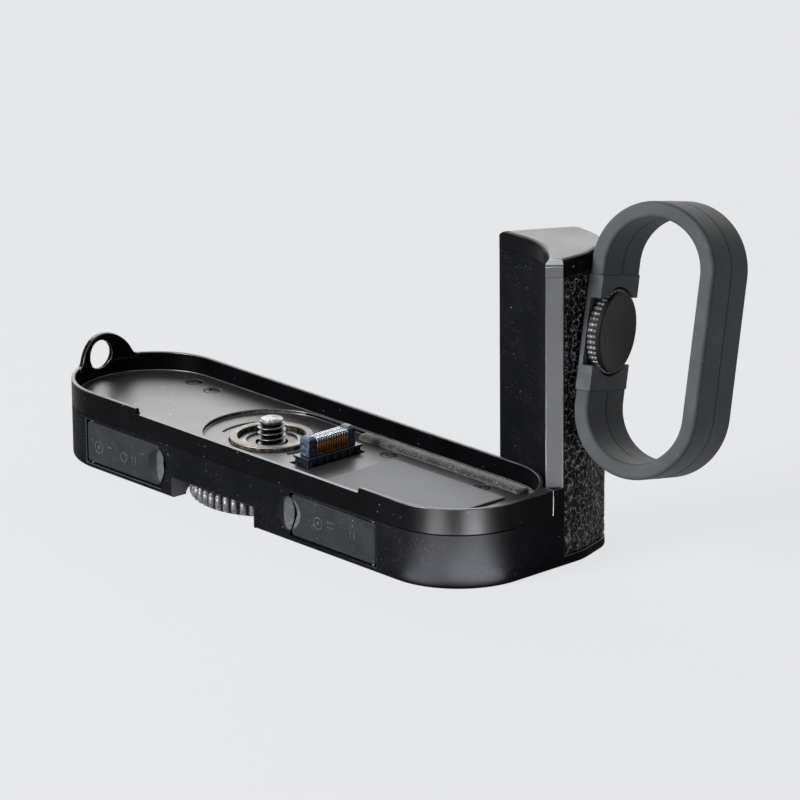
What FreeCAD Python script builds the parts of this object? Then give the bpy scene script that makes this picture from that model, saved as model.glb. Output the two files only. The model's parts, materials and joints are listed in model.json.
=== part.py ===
import FreeCAD, Part
import math
import os
import Sketcher
from FreeCAD import Placement, Rotation, Vector

# Camera hand grip: a tray that screws under a camera, a column at its right end and a finger loop.
# Origin on the camera screw's axis at the underside. +X runs to the column, +Y to the camera's front.

doc = FreeCAD.newDocument("HandGrip")
sheet = doc.addObject("Spreadsheet::Sheet", "Sizes")

# Driving dimensions in millimetres and degrees
driving = {
    # tray and housing in plan
    "left_reach": 58.95, "right_reach": 79.65, "grip_width": 36.32, "middle_shift": 0.5,
    # levels
    "housing_height": 12.16, "floor_thickness": 1.44, "floor_recess": 0.9,
    "rim_height": 18.0, "low_rim_drop": 1.26, "low_rim_left": 24.4, "low_rim_right": 49.5,
    "rim_wall": 0.9, "rim_step_radius": 0.6,
    "housing_wall": 1.6, "housing_bottom": 1.4,
    # recess in the tray floor, drawn in from the outside
    "recess_inset": 1.3, "recess_round": 14.7, "recess_round_shift": 2.8,
    # strap ear
    "ear_radius": 7.72, "ear_height": 16.27, "ear_thickness": 1.2, "ear_foot_radius": 1.5,
    "ear_hole_radius": 3.35, "ear_hole_rise": 2.9, "ear_hole_shift": 0.94,
    # thumbwheel and camera screw
    "wheel_proud": 0.34, "wheel_thickness": 4.0, "wheel_ride": 0.4, "ridge_count": 52,
    "ridge_radius": 0.7, "ridge_sink": 0.7, "dish_rim": 2.4, "dish_depth": 1.3, "hub_wall": 3.0,
    "well_gap": 0.8, "well_depth": 4.8, "well_roof": 1.4,
    "mouth_left": 12.6, "mouth_right": 15.0, "mouth_depth": 6.7,
    "barrel_radius": 5.0, "barrel_top": 9.0, "running_gap": 0.05, "neck_radius": 2.6,
    "neck_top": 12.3, "stud_radius": 3.175, "stud_top": 17.4, "stud_chamfer": 0.9,
    "tripod_bore_radius": 2.55, "tripod_bore_depth": 5.5,
    "clip_thickness": 0.6, "clip_radius": 7.0, "clip_groove": 0.5, "clip_gap": 0.12, "clip_mouth": 3.3,
    # guide ring round the screw
    "ring_radius": 9.45, "ring_inner": 7.6, "ring_hole": 3.6, "ring_base": 0.8, "ring_drop": 2.4,
    "ring_fit": 0.05, "ring_edge": 0.2, "washer_outer": 7.2, "washer_inner": 5.8,
    "washer_thickness": 0.5, "relief_inner": 10.9, "relief_outer": 12.3, "relief_angle": 24.0,
    "relief_depth": 0.3,
    # covers over the sockets
    "left_flap_length": 25.2, "right_flap_length": 27.15, "flap_height": 9.55,
    "flap_bottom": 1.5, "flap_thickness": 1.5, "flap_sink": 0.1, "flap_gap": 0.35,
    "flap_corner": 1.0, "flap_heel": 0.5,
    "left_flap_right": 16.9, "right_flap_left": 27.4, "hinge_inset": 1.2, "hinge_pin_radius": 0.4,
    "pin_reach": 0.9, "notch_radius": 6.2, "notch_stand": 4.6,
    # connector
    "plug_x": 18.3, "plug_y": 0.4, "plug_width": 5.1, "plug_length": 16.0, "plug_base_top": 14.5,
    "plug_top": 18.3, "plug_body_width": 3.0, "plug_body_length": 13.6,
    "plug_block_length": 2.2, "plug_block_rise": 0.6, "plug_edge": 0.5, "plug_gap": 0.5,
    "pins_per_side": 13, "pin_pitch": 0.72, "pin_width": 0.36, "pin_thickness": 0.2, "pin_drop": 0.3,
    # cover plate and light seal on the tray floor, back from the walls
    "plate_left": 30.1, "plate_right_gap": 14.05, "plate_near_gap": 2.46, "plate_far_gap": 8.51,
    "plate_thickness": 0.5, "plate_corner": 4.0, "plate_edge": 0.12,
    "seal_left": 14.0, "seal_overrun": 4.6, "seal_end_slant": 1.0, "seal_width": 2.9,
    "seal_thickness": 1.2, "seal_gap": 0.1, "seal_round": 0.5,
    # column: inwards from the right end, and beyond or back from the far wall
    "column_height": 64.7, "cap_height": 3.9, "cap_round": 1.2, "cradle_gap": 0.8,
    "frame_setback": 7.56, "strip_setback": 4.66, "facet_start": 1.69,
    "facet_inset": 3.19, "facet_reach": 11.54, "front_inset": 9.15, "front_reach": 14.64,
    "nose_inset": 16.65, "nose_reach": 15.84, "root_inset": 25.5,
    "heel_round": 14.0, "facet_round": 6.0, "front_round": 6.0, "nose_round": 3.0,
    "shaft_inset": 10.15, "shaft_reach": 6.64, "shaft_radius": 5.0, "shaft_bottom": 6.0,
    "duct_left_inset": 15.15, "duct_right_inset": 7.65, "duct_setback": 5.66, "duct_top": 11.2,
    "leather_thickness": 0.8, "leather_bottom": 2.3, "leather_setback": 4.16, "leather_reach": 2.94,
    "leather_gap": 0.3,
    # finger loop and its knob
    "knob_share": 0.662, "knob_drop": 14.7, "loop_swivel": 14.7,
    "loop_gap": 0.2, "loop_width": 28.95, "loop_height": 59.2, "loop_depth": 17.3,
    "loop_band": 3.5, "loop_drop": 0.2, "loop_edge": 0.9, "insert_up": 12.2, "insert_down": 12.6,
    "insert_back": 1.0, "insert_pocket": 9.6, "knob_radius": 9.2, "knob_proud": 0.7,
    "knob_float": 0.1, "knurl_count": 46, "knurl_radius": 0.45, "knurl_sink": 0.4,
    "knob_edge": 0.35, "knob_stem_radius": 2.5, "knob_stem": 6.0, "bush_radius": 4.2,
    "bush_length": 6.4, "bush_pilot": 0.9, "collar_radius": 5.4, "collar_depth": 0.8,
    # screws of the tray: along from a round end or the connector, back from the far wall
    "left_screw_along": 0.19, "left_screw_back": 5.66, "second_screw_along": 7.79,
    "second_screw_back": 6.76, "plug_screw_along": 8.1, "right_screw_along": 4.99,
    "recess_screw_back": 6.46, "end_screw_along": 9.11, "end_screw_drop": 6.5,
    "screw_bore": 0.8, "screw_clearance": 0.3, "screw_head_radius": 1.75, "screw_head": 0.35,
    "screw_head_gap": 0.15, "screw_sink": 0.3, "screw_shank": 4.1, "screw_bore_depth": 4.6,
    "post_radius": 2.2,
    # board, sockets behind the covers, antenna and its cable
    "board_left_overrun": 5.21, "board_right_overrun": 5.51, "board_near_gap": 4.06,
    "board_far_gap": 4.46, "board_level": 9.6, "board_thickness": 1.0, "board_ring_gap": 0.5,
    "board_post_gap": 0.4, "board_screw_gap": 0.2, "board_left_screw": 13.79,
    "board_left_screw_rise": 8.5, "board_middle_screw": 25.49, "board_middle_screw_rise": 6.5,
    "board_right_screw": 1.51, "board_right_screw_drop": 3.5,
    "usb_along": 8.1, "usb_width": 7.6, "usb_height": 3.2, "flash_along": 9.6, "flash_width": 11.0,
    "flash_height": 4.0, "socket_depth": 9.0, "socket_wall": 0.5, "socket_back": 1.0,
    "socket_gap": 0.9, "socket_foot": 0.4, "tongue_setback": 0.6,
    "power_along": 19.1, "power_radius": 3.0, "power_bore": 2.0, "power_pin": 0.6,
    "sync_along": 21.6, "sync_radius": 2.9, "sync_bore": 1.9, "sync_pin": 0.8,
    "jack_level": 6.2, "jack_depth": 8.0, "jack_back": 1.0, "jack_foot_setback": 2.0,
    "jack_pin_setback": 1.0,
    "antenna_side": 7.8, "antenna_board": 0.8, "antenna_board_lap": 0.5, "patch_thickness": 1.0,
    "cable_width": 2.0, "cable_thickness": 0.3, "cable_level": 9.0, "cable_lap": 4.0,
    "cable_overhang": 0.6, "cable_setback": 2.0,
}

for row, (alias, number) in enumerate(driving.items(), start=1):
    sheet.set("A%d" % row, alias)
    sheet.set("B%d" % row, str(number))
    sheet.setAlias("B%d" % row, alias)
doc.recompute()


class Size:
    # A number together with the sheet formula it comes from.
    def __init__(self, text, number):
        self.text = text
        self.number = float(number)

    def __add__(self, other):
        other = as_size(other)
        return Size("(%s + %s)" % (self.text, other.text), self.number + other.number)

    def __sub__(self, other):
        other = as_size(other)
        return Size("(%s - %s)" % (self.text, other.text), self.number - other.number)

    def __mul__(self, other):
        other = as_size(other)
        return Size("(%s * %s)" % (self.text, other.text), self.number * other.number)

    def __truediv__(self, other):
        other = as_size(other)
        return Size("(%s / %s)" % (self.text, other.text), self.number / other.number)

    def __neg__(self):
        return Size("(0 - %s)" % self.text, -self.number)

    def __float__(self):
        return self.number


def as_size(value):
    if isinstance(value, Size):
        return value
    return Size("%r" % float(value), value)


def root(value):
    return Size("sqrt(%s)" % value.text, math.sqrt(value.number))


def cosine(degrees):
    return Size("cos(%s * 1 deg)" % degrees.text, math.cos(math.radians(degrees.number)))


def sine(degrees):
    return Size("sin(%s * 1 deg)" % degrees.text, math.sin(math.radians(degrees.number)))


def slope(rise, run):
    # Angle of a slope in degrees.
    angle = math.degrees(math.atan2(rise.number, run.number))
    return Size("(atan(%s / %s) / 1 deg)" % (rise.text, run.text), angle)


class Table:
    # Every driving dimension by its name, as a Size.
    def __init__(self):
        for alias in driving:
            setattr(self, alias, Size("Sizes.%s" % alias, sheet.get(alias)))


S = Table()
zero = as_size(0)


class Spot:
    # A placement together with the sheet formula it comes from.
    def __init__(self, text, place):
        self.text = text
        self.place = place

    def __mul__(self, other):
        return Spot("%s * %s" % (self.text, other.text), self.place * other.place)


def spot(x=zero, y=zero, z=zero, yaw=zero, roll=0.0):
    text = "placement(vector(%s; %s; %s); rotation(%s; 0; %r))" % (x.text, y.text, z.text, yaw.text, roll)
    turn = Rotation(yaw.number, 0, roll)
    return Spot(text, Placement(Vector(x.number, y.number, z.number), turn))


# Worked out from the driving dimensions
half_width = S.grip_width / 2
near_face = -half_width - S.middle_shift
far_face = half_width - S.middle_shift
middle = -S.middle_shift
left_centre = half_width - S.left_reach
right_centre = S.right_reach - half_width
floor_top = S.housing_height + S.floor_thickness
recess_top = floor_top - S.floor_recess
well_top = S.well_depth + S.well_roof
wheel_radius = half_width + S.wheel_proud
board_top = S.board_level + S.board_thickness
board_right = right_centre + S.board_right_overrun
board_far = far_face - S.board_far_gap
column_top = S.column_height + S.cap_height
cradle_radius = half_width + S.cradle_gap

# Corners of the column in plan
frame_y = far_face - S.frame_setback
cradle_rise = frame_y - middle
strip_x = right_centre + root(cradle_radius * cradle_radius - cradle_rise * cradle_rise)
strip_y = far_face - S.strip_setback
heel_y = far_face + S.facet_start
facet_x, facet_y = S.right_reach - S.facet_inset, far_face + S.facet_reach
front_x, front_y = S.right_reach - S.front_inset, far_face + S.front_reach
nose_x, nose_y = S.right_reach - S.nose_inset, far_face + S.nose_reach
root_x = S.right_reach - S.root_inset
shaft_x, shaft_y = S.right_reach - S.shaft_inset, far_face + S.shaft_reach
column_rounds = ((S.right_reach, heel_y, S.heel_round), (facet_x, facet_y, S.facet_round),
                 (front_x, front_y, S.front_round), (nose_x, nose_y, S.nose_round))
recess_radius = half_width - S.recess_inset
recess_far = middle + recess_radius

# The knob stands square on the facet, and the loop hangs from it at its own swivel
knob_x = S.right_reach - S.facet_inset * S.knob_share
knob_y = heel_y + (facet_y - heel_y) * S.knob_share
knob_heading = slope(S.facet_inset, facet_y - heel_y)
knob_place = spot(knob_x, knob_y, S.column_height - S.knob_drop, knob_heading + 90, 90.0)
loop_place = knob_place * spot(yaw=-S.loop_swivel)

# How far a cutting shape runs past the solid, and how near two coordinates are that agree
past = as_size(1)
close = 0.005
pieces = []


def refresh(thing):
    # Recomputes one piece and what it is made from.
    doc.recompute([thing])


def bind(thing, path, value):
    value = as_size(value)
    thing.setExpression(path, value.text)


def bind_place(thing, place):
    thing.setExpression("Placement", place.text)


def new_body(label):
    body = doc.addObject("PartDesign::Body", label)
    body.Label = label
    pieces.append(body)
    return body


def new_sketch(body, role="XY_Plane", lift=zero):
    sketch = body.newObject("Sketcher::SketchObject", "Sketch")
    plane = [feature for feature in body.Origin.OriginFeatures if feature.Role == role][0]
    sketch.AttachmentSupport = [(plane, "")]
    sketch.MapMode = "FlatFace"
    bind(sketch, "AttachmentOffset.Base.z", lift)
    return sketch


def constrain(sketch, kind, places, value):
    # One measured constraint, tied to its formula.
    index = sketch.addConstraint(Sketcher.Constraint(kind, *places, value.number))
    sketch.setExpression("Constraints[%d]" % index, value.text)


def pin_point(sketch, edge, end, x, y):
    constrain(sketch, "DistanceX", (-1, 1, edge, end), as_size(x))
    constrain(sketch, "DistanceY", (-1, 1, edge, end), as_size(y))


def draw_circle(sketch, x, y, radius):
    x, y, radius = as_size(x), as_size(y), as_size(radius)
    centre = Vector(x.number, y.number, 0)
    edge = sketch.addGeometry(Part.Circle(centre, Vector(0, 0, 1), radius.number), False)
    pin_point(sketch, edge, 3, x, y)
    constrain(sketch, "Radius", (edge,), radius)


def arc_middle(start, end, radius):
    # Middle of the shorter arc, to the right of the chord where the radius is positive.
    chord = end - start
    half = chord.Length / 2
    height = abs(radius) - math.sqrt(max(radius * radius - half * half, 0))
    side = Vector(chord.y, -chord.x, 0).normalize()
    return (start + end) * 0.5 + side * math.copysign(height, radius)


def draw_outline(sketch, corners):
    # Corners go round counter-clockwise; a third value makes the next stretch an arc of that radius,
    # bulging outwards where it is positive.
    count = len(corners)
    points = [Vector(as_size(c[0]).number, as_size(c[1]).number, 0) for c in corners]
    for here in range(count):
        start, end = points[here], points[(here + 1) % count]
        if len(corners[here]) < 3:
            edge = sketch.addGeometry(Part.LineSegment(start, end), False)
            ends = (1, 2)
        else:
            radius = as_size(corners[here][2])
            arc = Part.Arc(start, arc_middle(start, end, radius.number), end)
            edge = sketch.addGeometry(arc, False)
            first = sketch.getPoint(edge, 1)
            ends = (1, 2) if (first - start).Length < (first - end).Length else (2, 1)
            magnitude = radius if radius.number > 0 else -radius
            constrain(sketch, "Radius", (edge,), magnitude)
        if here > 0:
            sketch.addConstraint(Sketcher.Constraint("Coincident", previous[0], previous[1], edge, ends[0]))
        else:
            first_corner = (edge, ends[0])
        previous = (edge, ends[1])
        pin_point(sketch, edge, ends[0], corners[here][0], corners[here][1])
    sketch.addConstraint(Sketcher.Constraint("Coincident", previous[0], previous[1], *first_corner))


def draw_box(sketch, left, right, low, high):
    draw_outline(sketch, [(left, low), (right, low), (right, high), (left, high)])


def pad(body, sketch, length, reverse=False, middle_plane=False):
    feature = body.newObject("PartDesign::Pad", "Pad")
    feature.Profile = sketch
    bind(feature, "Length", length)
    feature.Reversed = reverse
    feature.Midplane = middle_plane
    refresh(body)
    return feature


def pocket(body, sketch, length, reverse=False, middle_plane=False):
    # The volume has to fall, because a pocket that points away from the solid cuts nothing.
    before = body.Shape.Volume
    feature = body.newObject("PartDesign::Pocket", "Pocket")
    feature.Profile = sketch
    bind(feature, "Length", length)
    feature.Reversed = reverse
    feature.Midplane = middle_plane
    refresh(body)
    if not body.Shape.Volume < before:
        raise RuntimeError("a pocket in %s cuts nothing" % body.Label)
    return feature


def revolve(body, corners, role="XZ_Plane"):
    # Corners are radius and height.
    sketch = new_sketch(body, role)
    draw_outline(sketch, corners)
    feature = body.newObject("PartDesign::Revolution", "Revolution")
    feature.Profile = sketch
    feature.ReferenceAxis = (sketch, ["V_Axis"])
    feature.Angle = 360
    refresh(body)
    return feature


def round_edges(body, test, radius, kind="PartDesign::Fillet"):
    radius = as_size(radius)
    base = body.Tip
    names = ["Edge%d" % (number + 1) for number, edge in enumerate(base.Shape.Edges) if test(edge)]
    if not names:
        raise RuntimeError("no edge to round in %s" % body.Label)
    feature = body.newObject(kind, "Rounding")
    feature.Base = (base, names)
    bind(feature, "Radius" if kind.endswith("Fillet") else "Size", radius)
    refresh(body)
    if "Invalid" in feature.State:
        raise RuntimeError("the rounding in %s fails" % body.Label)
    return feature


def upright_at(x, y):
    # Picks the vertical edges over one point of the plan.
    def test(edge):
        if len(edge.Vertexes) != 2:
            return False
        first, last = edge.Vertexes[0].Point, edge.Vertexes[1].Point
        near = math.hypot(first.x - float(x), first.y - float(y)) < close
        upright = abs(first.x - last.x) + abs(first.y - last.y) < close
        return near and upright
    return test


def level_at(height):
    # Picks the edges that lie flat at one level.
    def test(edge):
        box = edge.BoundBox
        return abs(box.ZMin - float(height)) < close and abs(box.ZMax - float(height)) < close
    return test


def polar_copies(body, feature, count):
    pattern = body.newObject("PartDesign::PolarPattern", "Pattern")
    pattern.Originals = [feature]
    pattern.Axis = (feature.Profile[0], ["N_Axis"])
    pattern.Angle = 360
    bind(pattern, "Occurrences", count)
    body.Tip = pattern
    refresh(body)
    return pattern


def combine(kind, label, base, tool, final=True):
    result = doc.addObject(kind, label)
    result.Base = base
    result.Tool = tool
    result.Label = label
    for used in (base, tool):
        if used in pieces:
            pieces.remove(used)
            used.Label = "%s_blank" % label
    result.Label = label
    if final:
        pieces.append(result)
    refresh(result)
    return result


def solid_box(name, low, high):
    box = doc.addObject("Part::Box", name)
    for prop, first, last in zip(("Length", "Width", "Height"), low, high):
        bind(box, prop, as_size(last) - first)
    for axis, first in zip("xyz", low):
        bind(box, "Placement.Base.%s" % axis, first)
    return box


def solid_cylinder(name, radius, height, place):
    rod = doc.addObject("Part::Cylinder", name)
    bind(rod, "Radius", radius)
    bind(rod, "Height", height)
    bind_place(rod, place)
    return rod


def group(label, members):
    # Identical pieces that stay separate solids in one node.
    joined = doc.addObject("Part::Compound", label)
    joined.Label = label
    joined.Links = members
    for member in members:
        if member in pieces:
            pieces.remove(member)
    pieces.append(joined)
    refresh(joined)
    return joined


def stadium(inset):
    # Outline of the camera's base, drawn in by the inset.
    radius = half_width - inset
    return [(left_centre, middle - radius), (right_centre, middle - radius, radius),
            (right_centre + radius, middle, radius), (right_centre, middle + radius),
            (left_centre, middle + radius, radius), (left_centre - radius, middle, radius)]


def column_corners():
    return [(S.right_reach, heel_y), (facet_x, facet_y), (front_x, front_y), (nose_x, nose_y)]


def column_outline():
    # The inner face is hollowed to the camera's round end.
    corners = [(strip_x, frame_y), (S.right_reach, frame_y)]
    corners += column_corners()
    corners += [(root_x, middle + cradle_radius), (right_centre, middle + cradle_radius, -cradle_radius)]
    return corners


def chamfer_outline():
    # The column's flat strip that faces back beside the camera.
    corner_x = S.right_reach + past
    corner_y = frame_y - past
    return [(strip_x - past, corner_y), (corner_x, corner_y), (corner_x, strip_y),
            (S.right_reach, strip_y), (strip_x, frame_y)]


def round_column(body):
    for x, y, radius in column_rounds:
        round_edges(body, upright_at(x, y), radius)


def tray_screw_places():
    # Plan position and the level of the floor under each head.
    recess_y = far_face - S.recess_screw_back
    return [(left_centre + S.left_screw_along, far_face - S.left_screw_back, floor_top),
            (left_centre + S.second_screw_along, far_face - S.second_screw_back, floor_top),
            (S.plug_x + S.plug_screw_along, recess_y, recess_top),
            (right_centre - S.right_screw_along, recess_y, recess_top),
            (right_centre + S.end_screw_along, middle - S.end_screw_drop, recess_top)]


def board_screw_places():
    level = board_top + S.screw_head
    return [(left_centre + S.board_left_screw, middle + S.board_left_screw_rise, level),
            (right_centre - S.board_middle_screw, middle + S.board_middle_screw_rise, level),
            (right_centre + S.board_right_screw, middle - S.board_right_screw_drop, level)]


def flap_spans():
    # Left and right ends of the two covers.
    left = (-S.left_flap_right - S.left_flap_length, -S.left_flap_right)
    right = (S.right_flap_left, S.right_flap_left + S.right_flap_length)
    return {"left": left, "right": right}


def notch_sphere(name, x):
    ball = doc.addObject("Part::Sphere", name)
    bind(ball, "Radius", S.notch_radius)
    bind(ball, "Placement.Base.x", x)
    bind(ball, "Placement.Base.y", near_face - S.notch_stand)
    bind(ball, "Placement.Base.z", S.flap_bottom + S.flap_height / 2)
    return ball


# Housing with the wheel well, the socket windows and the column

def make_housing():
    body = new_body("base_housing")
    sketch = new_sketch(body)
    base = [(left_centre, near_face), (right_centre, near_face, half_width), (S.right_reach, middle)]
    base += column_corners()
    base += [(root_x, far_face), (left_centre, far_face, half_width),
             (left_centre - half_width, middle, half_width)]
    draw_outline(sketch, base)
    pad(body, sketch, S.housing_height)
    sketch = new_sketch(body)
    draw_outline(sketch, column_outline())
    pad(body, sketch, S.column_height)
    round_column(body)
    sketch = new_sketch(body, lift=S.column_height)
    draw_outline(sketch, chamfer_outline())
    pocket(body, sketch, S.column_height - S.rim_height)
    hollow_housing(body)
    open_wheel_well(body)
    add_posts(body)
    open_column(body)
    return body


def hollow_housing(body):
    wall = S.housing_wall
    sketch = new_sketch(body, lift=S.housing_height)
    draw_outline(sketch, stadium(wall))
    pocket(body, sketch, S.housing_height - well_top)
    radius = half_width - wall
    clear = wheel_radius + S.well_gap + wall
    sketch = new_sketch(body, lift=S.housing_height)
    draw_outline(sketch, [(left_centre, middle - radius), (-clear, middle - radius),
                          (-clear, middle + radius), (left_centre, middle + radius, radius),
                          (left_centre - radius, middle, radius)])
    pocket(body, sketch, S.housing_height - S.housing_bottom)
    sketch = new_sketch(body, lift=S.housing_height)
    draw_outline(sketch, [(clear, middle - radius), (right_centre, middle - radius, radius),
                          (right_centre + radius, middle, radius), (right_centre, middle + radius),
                          (clear, middle + radius)])
    pocket(body, sketch, S.housing_height - S.housing_bottom)
    for left, right in flap_spans().values():
        sketch = new_sketch(body, "XZ_Plane", -near_face)
        draw_box(sketch, left - S.flap_gap, right + S.flap_gap, S.flap_bottom - S.flap_gap,
                 S.flap_bottom + S.flap_height + S.flap_gap)
        pocket(body, sketch, (wall + S.flap_gap) * 2, middle_plane=True)


def open_wheel_well(body):
    sketch = new_sketch(body)
    draw_circle(sketch, 0, 0, wheel_radius + S.well_gap)
    pocket(body, sketch, S.well_depth, reverse=True)
    mouths = ((near_face - past, near_face + S.mouth_depth), (far_face - S.mouth_depth, far_face + past))
    for low, high in mouths:
        sketch = new_sketch(body)
        draw_box(sketch, -S.mouth_left, S.mouth_right, low, high)
        pocket(body, sketch, S.well_depth, reverse=True)
    sketch = new_sketch(body, lift=well_top)
    draw_circle(sketch, 0, 0, S.barrel_radius + S.running_gap)
    pocket(body, sketch, S.well_roof)


def add_posts(body):
    for places, height in ((tray_screw_places(), S.housing_height), (board_screw_places(), S.board_level)):
        for x, y, _ in places:
            sketch = new_sketch(body, lift=S.housing_bottom)
            draw_circle(sketch, x, y, S.post_radius)
            pad(body, sketch, height - S.housing_bottom)
            sketch = new_sketch(body, lift=height)
            draw_circle(sketch, x, y, S.screw_bore)
            pocket(body, sketch, S.screw_bore_depth)


def open_column(body):
    sketch = new_sketch(body, lift=S.column_height)
    draw_circle(sketch, shaft_x, shaft_y, S.shaft_radius)
    pocket(body, sketch, S.column_height - S.shaft_bottom)
    sketch = new_sketch(body, lift=S.duct_top)
    draw_box(sketch, S.right_reach - S.duct_left_inset, S.right_reach - S.duct_right_inset,
             far_face - S.duct_setback, shaft_y)
    pocket(body, sketch, S.duct_top - S.shaft_bottom)


def finish_housing(body, leather):
    # The covers' finger notches, the leather's bed and the bore for the loop's bush.
    spans = flap_spans()
    balls = doc.addObject("Part::MultiFuse", "housing_notches")
    balls.Shapes = [notch_sphere("left_notch", spans["left"][1]),
                    notch_sphere("right_notch", spans["right"][0])]
    bore = solid_cylinder("bush_bore", S.bush_radius, S.bush_length, knob_place * spot(z=-S.bush_length))
    collar = solid_cylinder("collar_bed", S.collar_radius, S.collar_depth,
                            knob_place * spot(z=-S.collar_depth))
    tools = doc.addObject("Part::MultiFuse", "housing_cuts")
    tools.Shapes = [balls, bore, collar]
    notched = combine("Part::Cut", "housing_with_notches", body, tools, final=False)
    final = doc.addObject("Part::Cut", "housing_with_leather_bed")
    final.Base = notched
    final.Tool = leather
    final.Label = "base_housing"
    pieces.append(final)


def column_face(inset):
    # The column's rounded outline as a face, drawn in by the inset.
    corners = column_outline()
    points = [Vector(as_size(c[0]).number, as_size(c[1]).number, 0) for c in corners]
    edges = [Part.makeLine(points[k], points[k + 1]) for k in range(len(points) - 1)]
    cradle = arc_middle(points[-1], points[0], -cradle_radius.number)
    edges.append(Part.Arc(points[-1], cradle, points[0]).toShape())
    prism = Part.Face(Part.Wire(edges)).extrude(Vector(0, 0, 1))
    for x, y, radius in column_rounds:
        test = upright_at(x, y)
        prism = prism.makeFillet(radius.number, [edge for edge in prism.Edges if test(edge)])
    bottom = min(prism.Faces, key=lambda face: face.CenterOfMass.z)
    if inset:
        return bottom.makeOffset2D(-inset)
    return bottom


def make_leather():
    # A thin sheet that wraps the column's rounded outside, so it is cut from the outline's offset.
    height = S.column_height.number - S.leather_gap.number - S.leather_bottom.number
    lift = Vector(0, 0, S.leather_bottom.number)
    outer = column_face(0).extrude(Vector(0, 0, height))
    inner = column_face(S.leather_thickness.number).extrude(Vector(0, 0, height))
    band = outer.cut(inner)
    # what lies towards the camera stays bare
    beyond = (S.right_reach + past).number
    low, step_x = (near_face - past).number, shaft_x.number
    start, end = (far_face - S.leather_setback).number, (far_face + S.leather_reach).number
    corners = [(0, low), (beyond, low), (beyond, start), (step_x, start), (step_x, end), (0, end), (0, low)]
    bare = Part.makePolygon([Vector(x, y, 0) for x, y in corners])
    wrap = band.cut(Part.Face(bare).extrude(Vector(0, 0, height)))
    wrap.translate(lift)
    hole = Part.makeCylinder(S.collar_radius.number, S.bush_length.number)
    hole.Placement = (knob_place * spot(z=-S.bush_length / 2)).place
    leather = doc.addObject("Part::Feature", "grip_leatherette")
    leather.Shape = wrap.cut(hole).Solids[0]
    leather.Label = "grip_leatherette"
    pieces.append(leather)
    return leather


def make_cap():
    body = new_body("column_cap")
    sketch = new_sketch(body, lift=S.column_height)
    draw_outline(sketch, column_outline())
    pad(body, sketch, S.cap_height)
    round_column(body)
    sketch = new_sketch(body, lift=column_top)
    draw_outline(sketch, chamfer_outline())
    pocket(body, sketch, S.cap_height)
    sketch = new_sketch(body, lift=S.column_height)
    draw_circle(sketch, shaft_x, shaft_y, S.shaft_radius + S.housing_wall / 2)
    pocket(body, sketch, S.cap_height - S.housing_wall, reverse=True)
    round_edges(body, level_at(column_top), S.cap_round)
    return body


# Tray with its rim, floor and strap ear

def make_tray():
    body = new_body("top_tray")
    sketch = new_sketch(body, lift=S.housing_height)
    rise = frame_y - middle
    reach = root(half_width * half_width - rise * rise)
    outline = [(left_centre, near_face), (right_centre, near_face, half_width), (S.right_reach, middle),
               (S.right_reach, frame_y), (right_centre + reach, frame_y, half_width),
               (right_centre, far_face), (left_centre, far_face, half_width),
               (left_centre - half_width, middle, half_width)]
    draw_outline(sketch, outline)
    pad(body, sketch, S.rim_height - S.housing_height)
    sketch = new_sketch(body, lift=S.rim_height)
    draw_outline(sketch, stadium(S.rim_wall))
    pocket(body, sketch, S.rim_height - floor_top)
    sketch = new_sketch(body, lift=floor_top)
    draw_circle(sketch, -S.recess_round_shift, recess_far - S.recess_round, S.recess_round)
    pocket(body, sketch, S.floor_recess)
    sketch = new_sketch(body, lift=floor_top)
    near = middle - recess_radius
    draw_outline(sketch, [(-S.recess_round_shift, near), (right_centre, near, recess_radius),
                          (right_centre + recess_radius, middle, recess_radius), (right_centre, recess_far),
                          (-S.recess_round_shift, recess_far)])
    pocket(body, sketch, S.floor_recess)
    open_tray_floor(body)
    sketch = new_sketch(body, lift=S.rim_height)
    draw_box(sketch, -S.low_rim_left, S.low_rim_right, near_face - past, near_face + S.rim_wall * 2)
    pocket(body, sketch, S.low_rim_drop)

    def step_edge(edge):
        box = edge.BoundBox
        step = min(abs(box.XMin + float(S.low_rim_left)), abs(box.XMin - float(S.low_rim_right)))
        across = box.XLength < close and box.ZLength < close and abs(box.YMin - float(near_face)) < close
        return step < close and across
    round_edges(body, step_edge, S.rim_step_radius)
    return body


def open_tray_floor(body):
    through = S.floor_thickness * 2
    sketch = new_sketch(body, lift=recess_top)
    draw_circle(sketch, 0, 0, S.ring_radius + S.ring_fit)
    pocket(body, sketch, through)
    sketch = new_sketch(body, lift=recess_top)
    half_x = S.plug_width / 2 + S.plug_gap
    half_y = S.plug_length / 2 + S.plug_gap
    draw_box(sketch, S.plug_x - half_x, S.plug_x + half_x, S.plug_y - half_y, S.plug_y + half_y)
    pocket(body, sketch, through)
    for x, y, level in tray_screw_places():
        sketch = new_sketch(body, lift=level)
        draw_circle(sketch, x, y, S.screw_bore + S.screw_clearance)
        pocket(body, sketch, through)
        sketch = new_sketch(body, lift=level)
        draw_circle(sketch, x, y, S.screw_head_radius + S.screw_head_gap)
        pocket(body, sketch, S.screw_sink)
    for side in (-1, 1):
        sketch = new_sketch(body, lift=recess_top)
        draw_outline(sketch, relief_outline(side))
        pocket(body, sketch, S.relief_depth)


def relief_outline(side):
    # A curved slot beside the guide ring.
    reach, rise = cosine(S.relief_angle) * side, sine(S.relief_angle) * side
    inner, outer = S.relief_inner, S.relief_outer
    return [(inner * reach, -(inner * rise)), (outer * reach, -(outer * rise), outer),
            (outer * reach, outer * rise), (inner * reach, inner * rise, -inner)]


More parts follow.
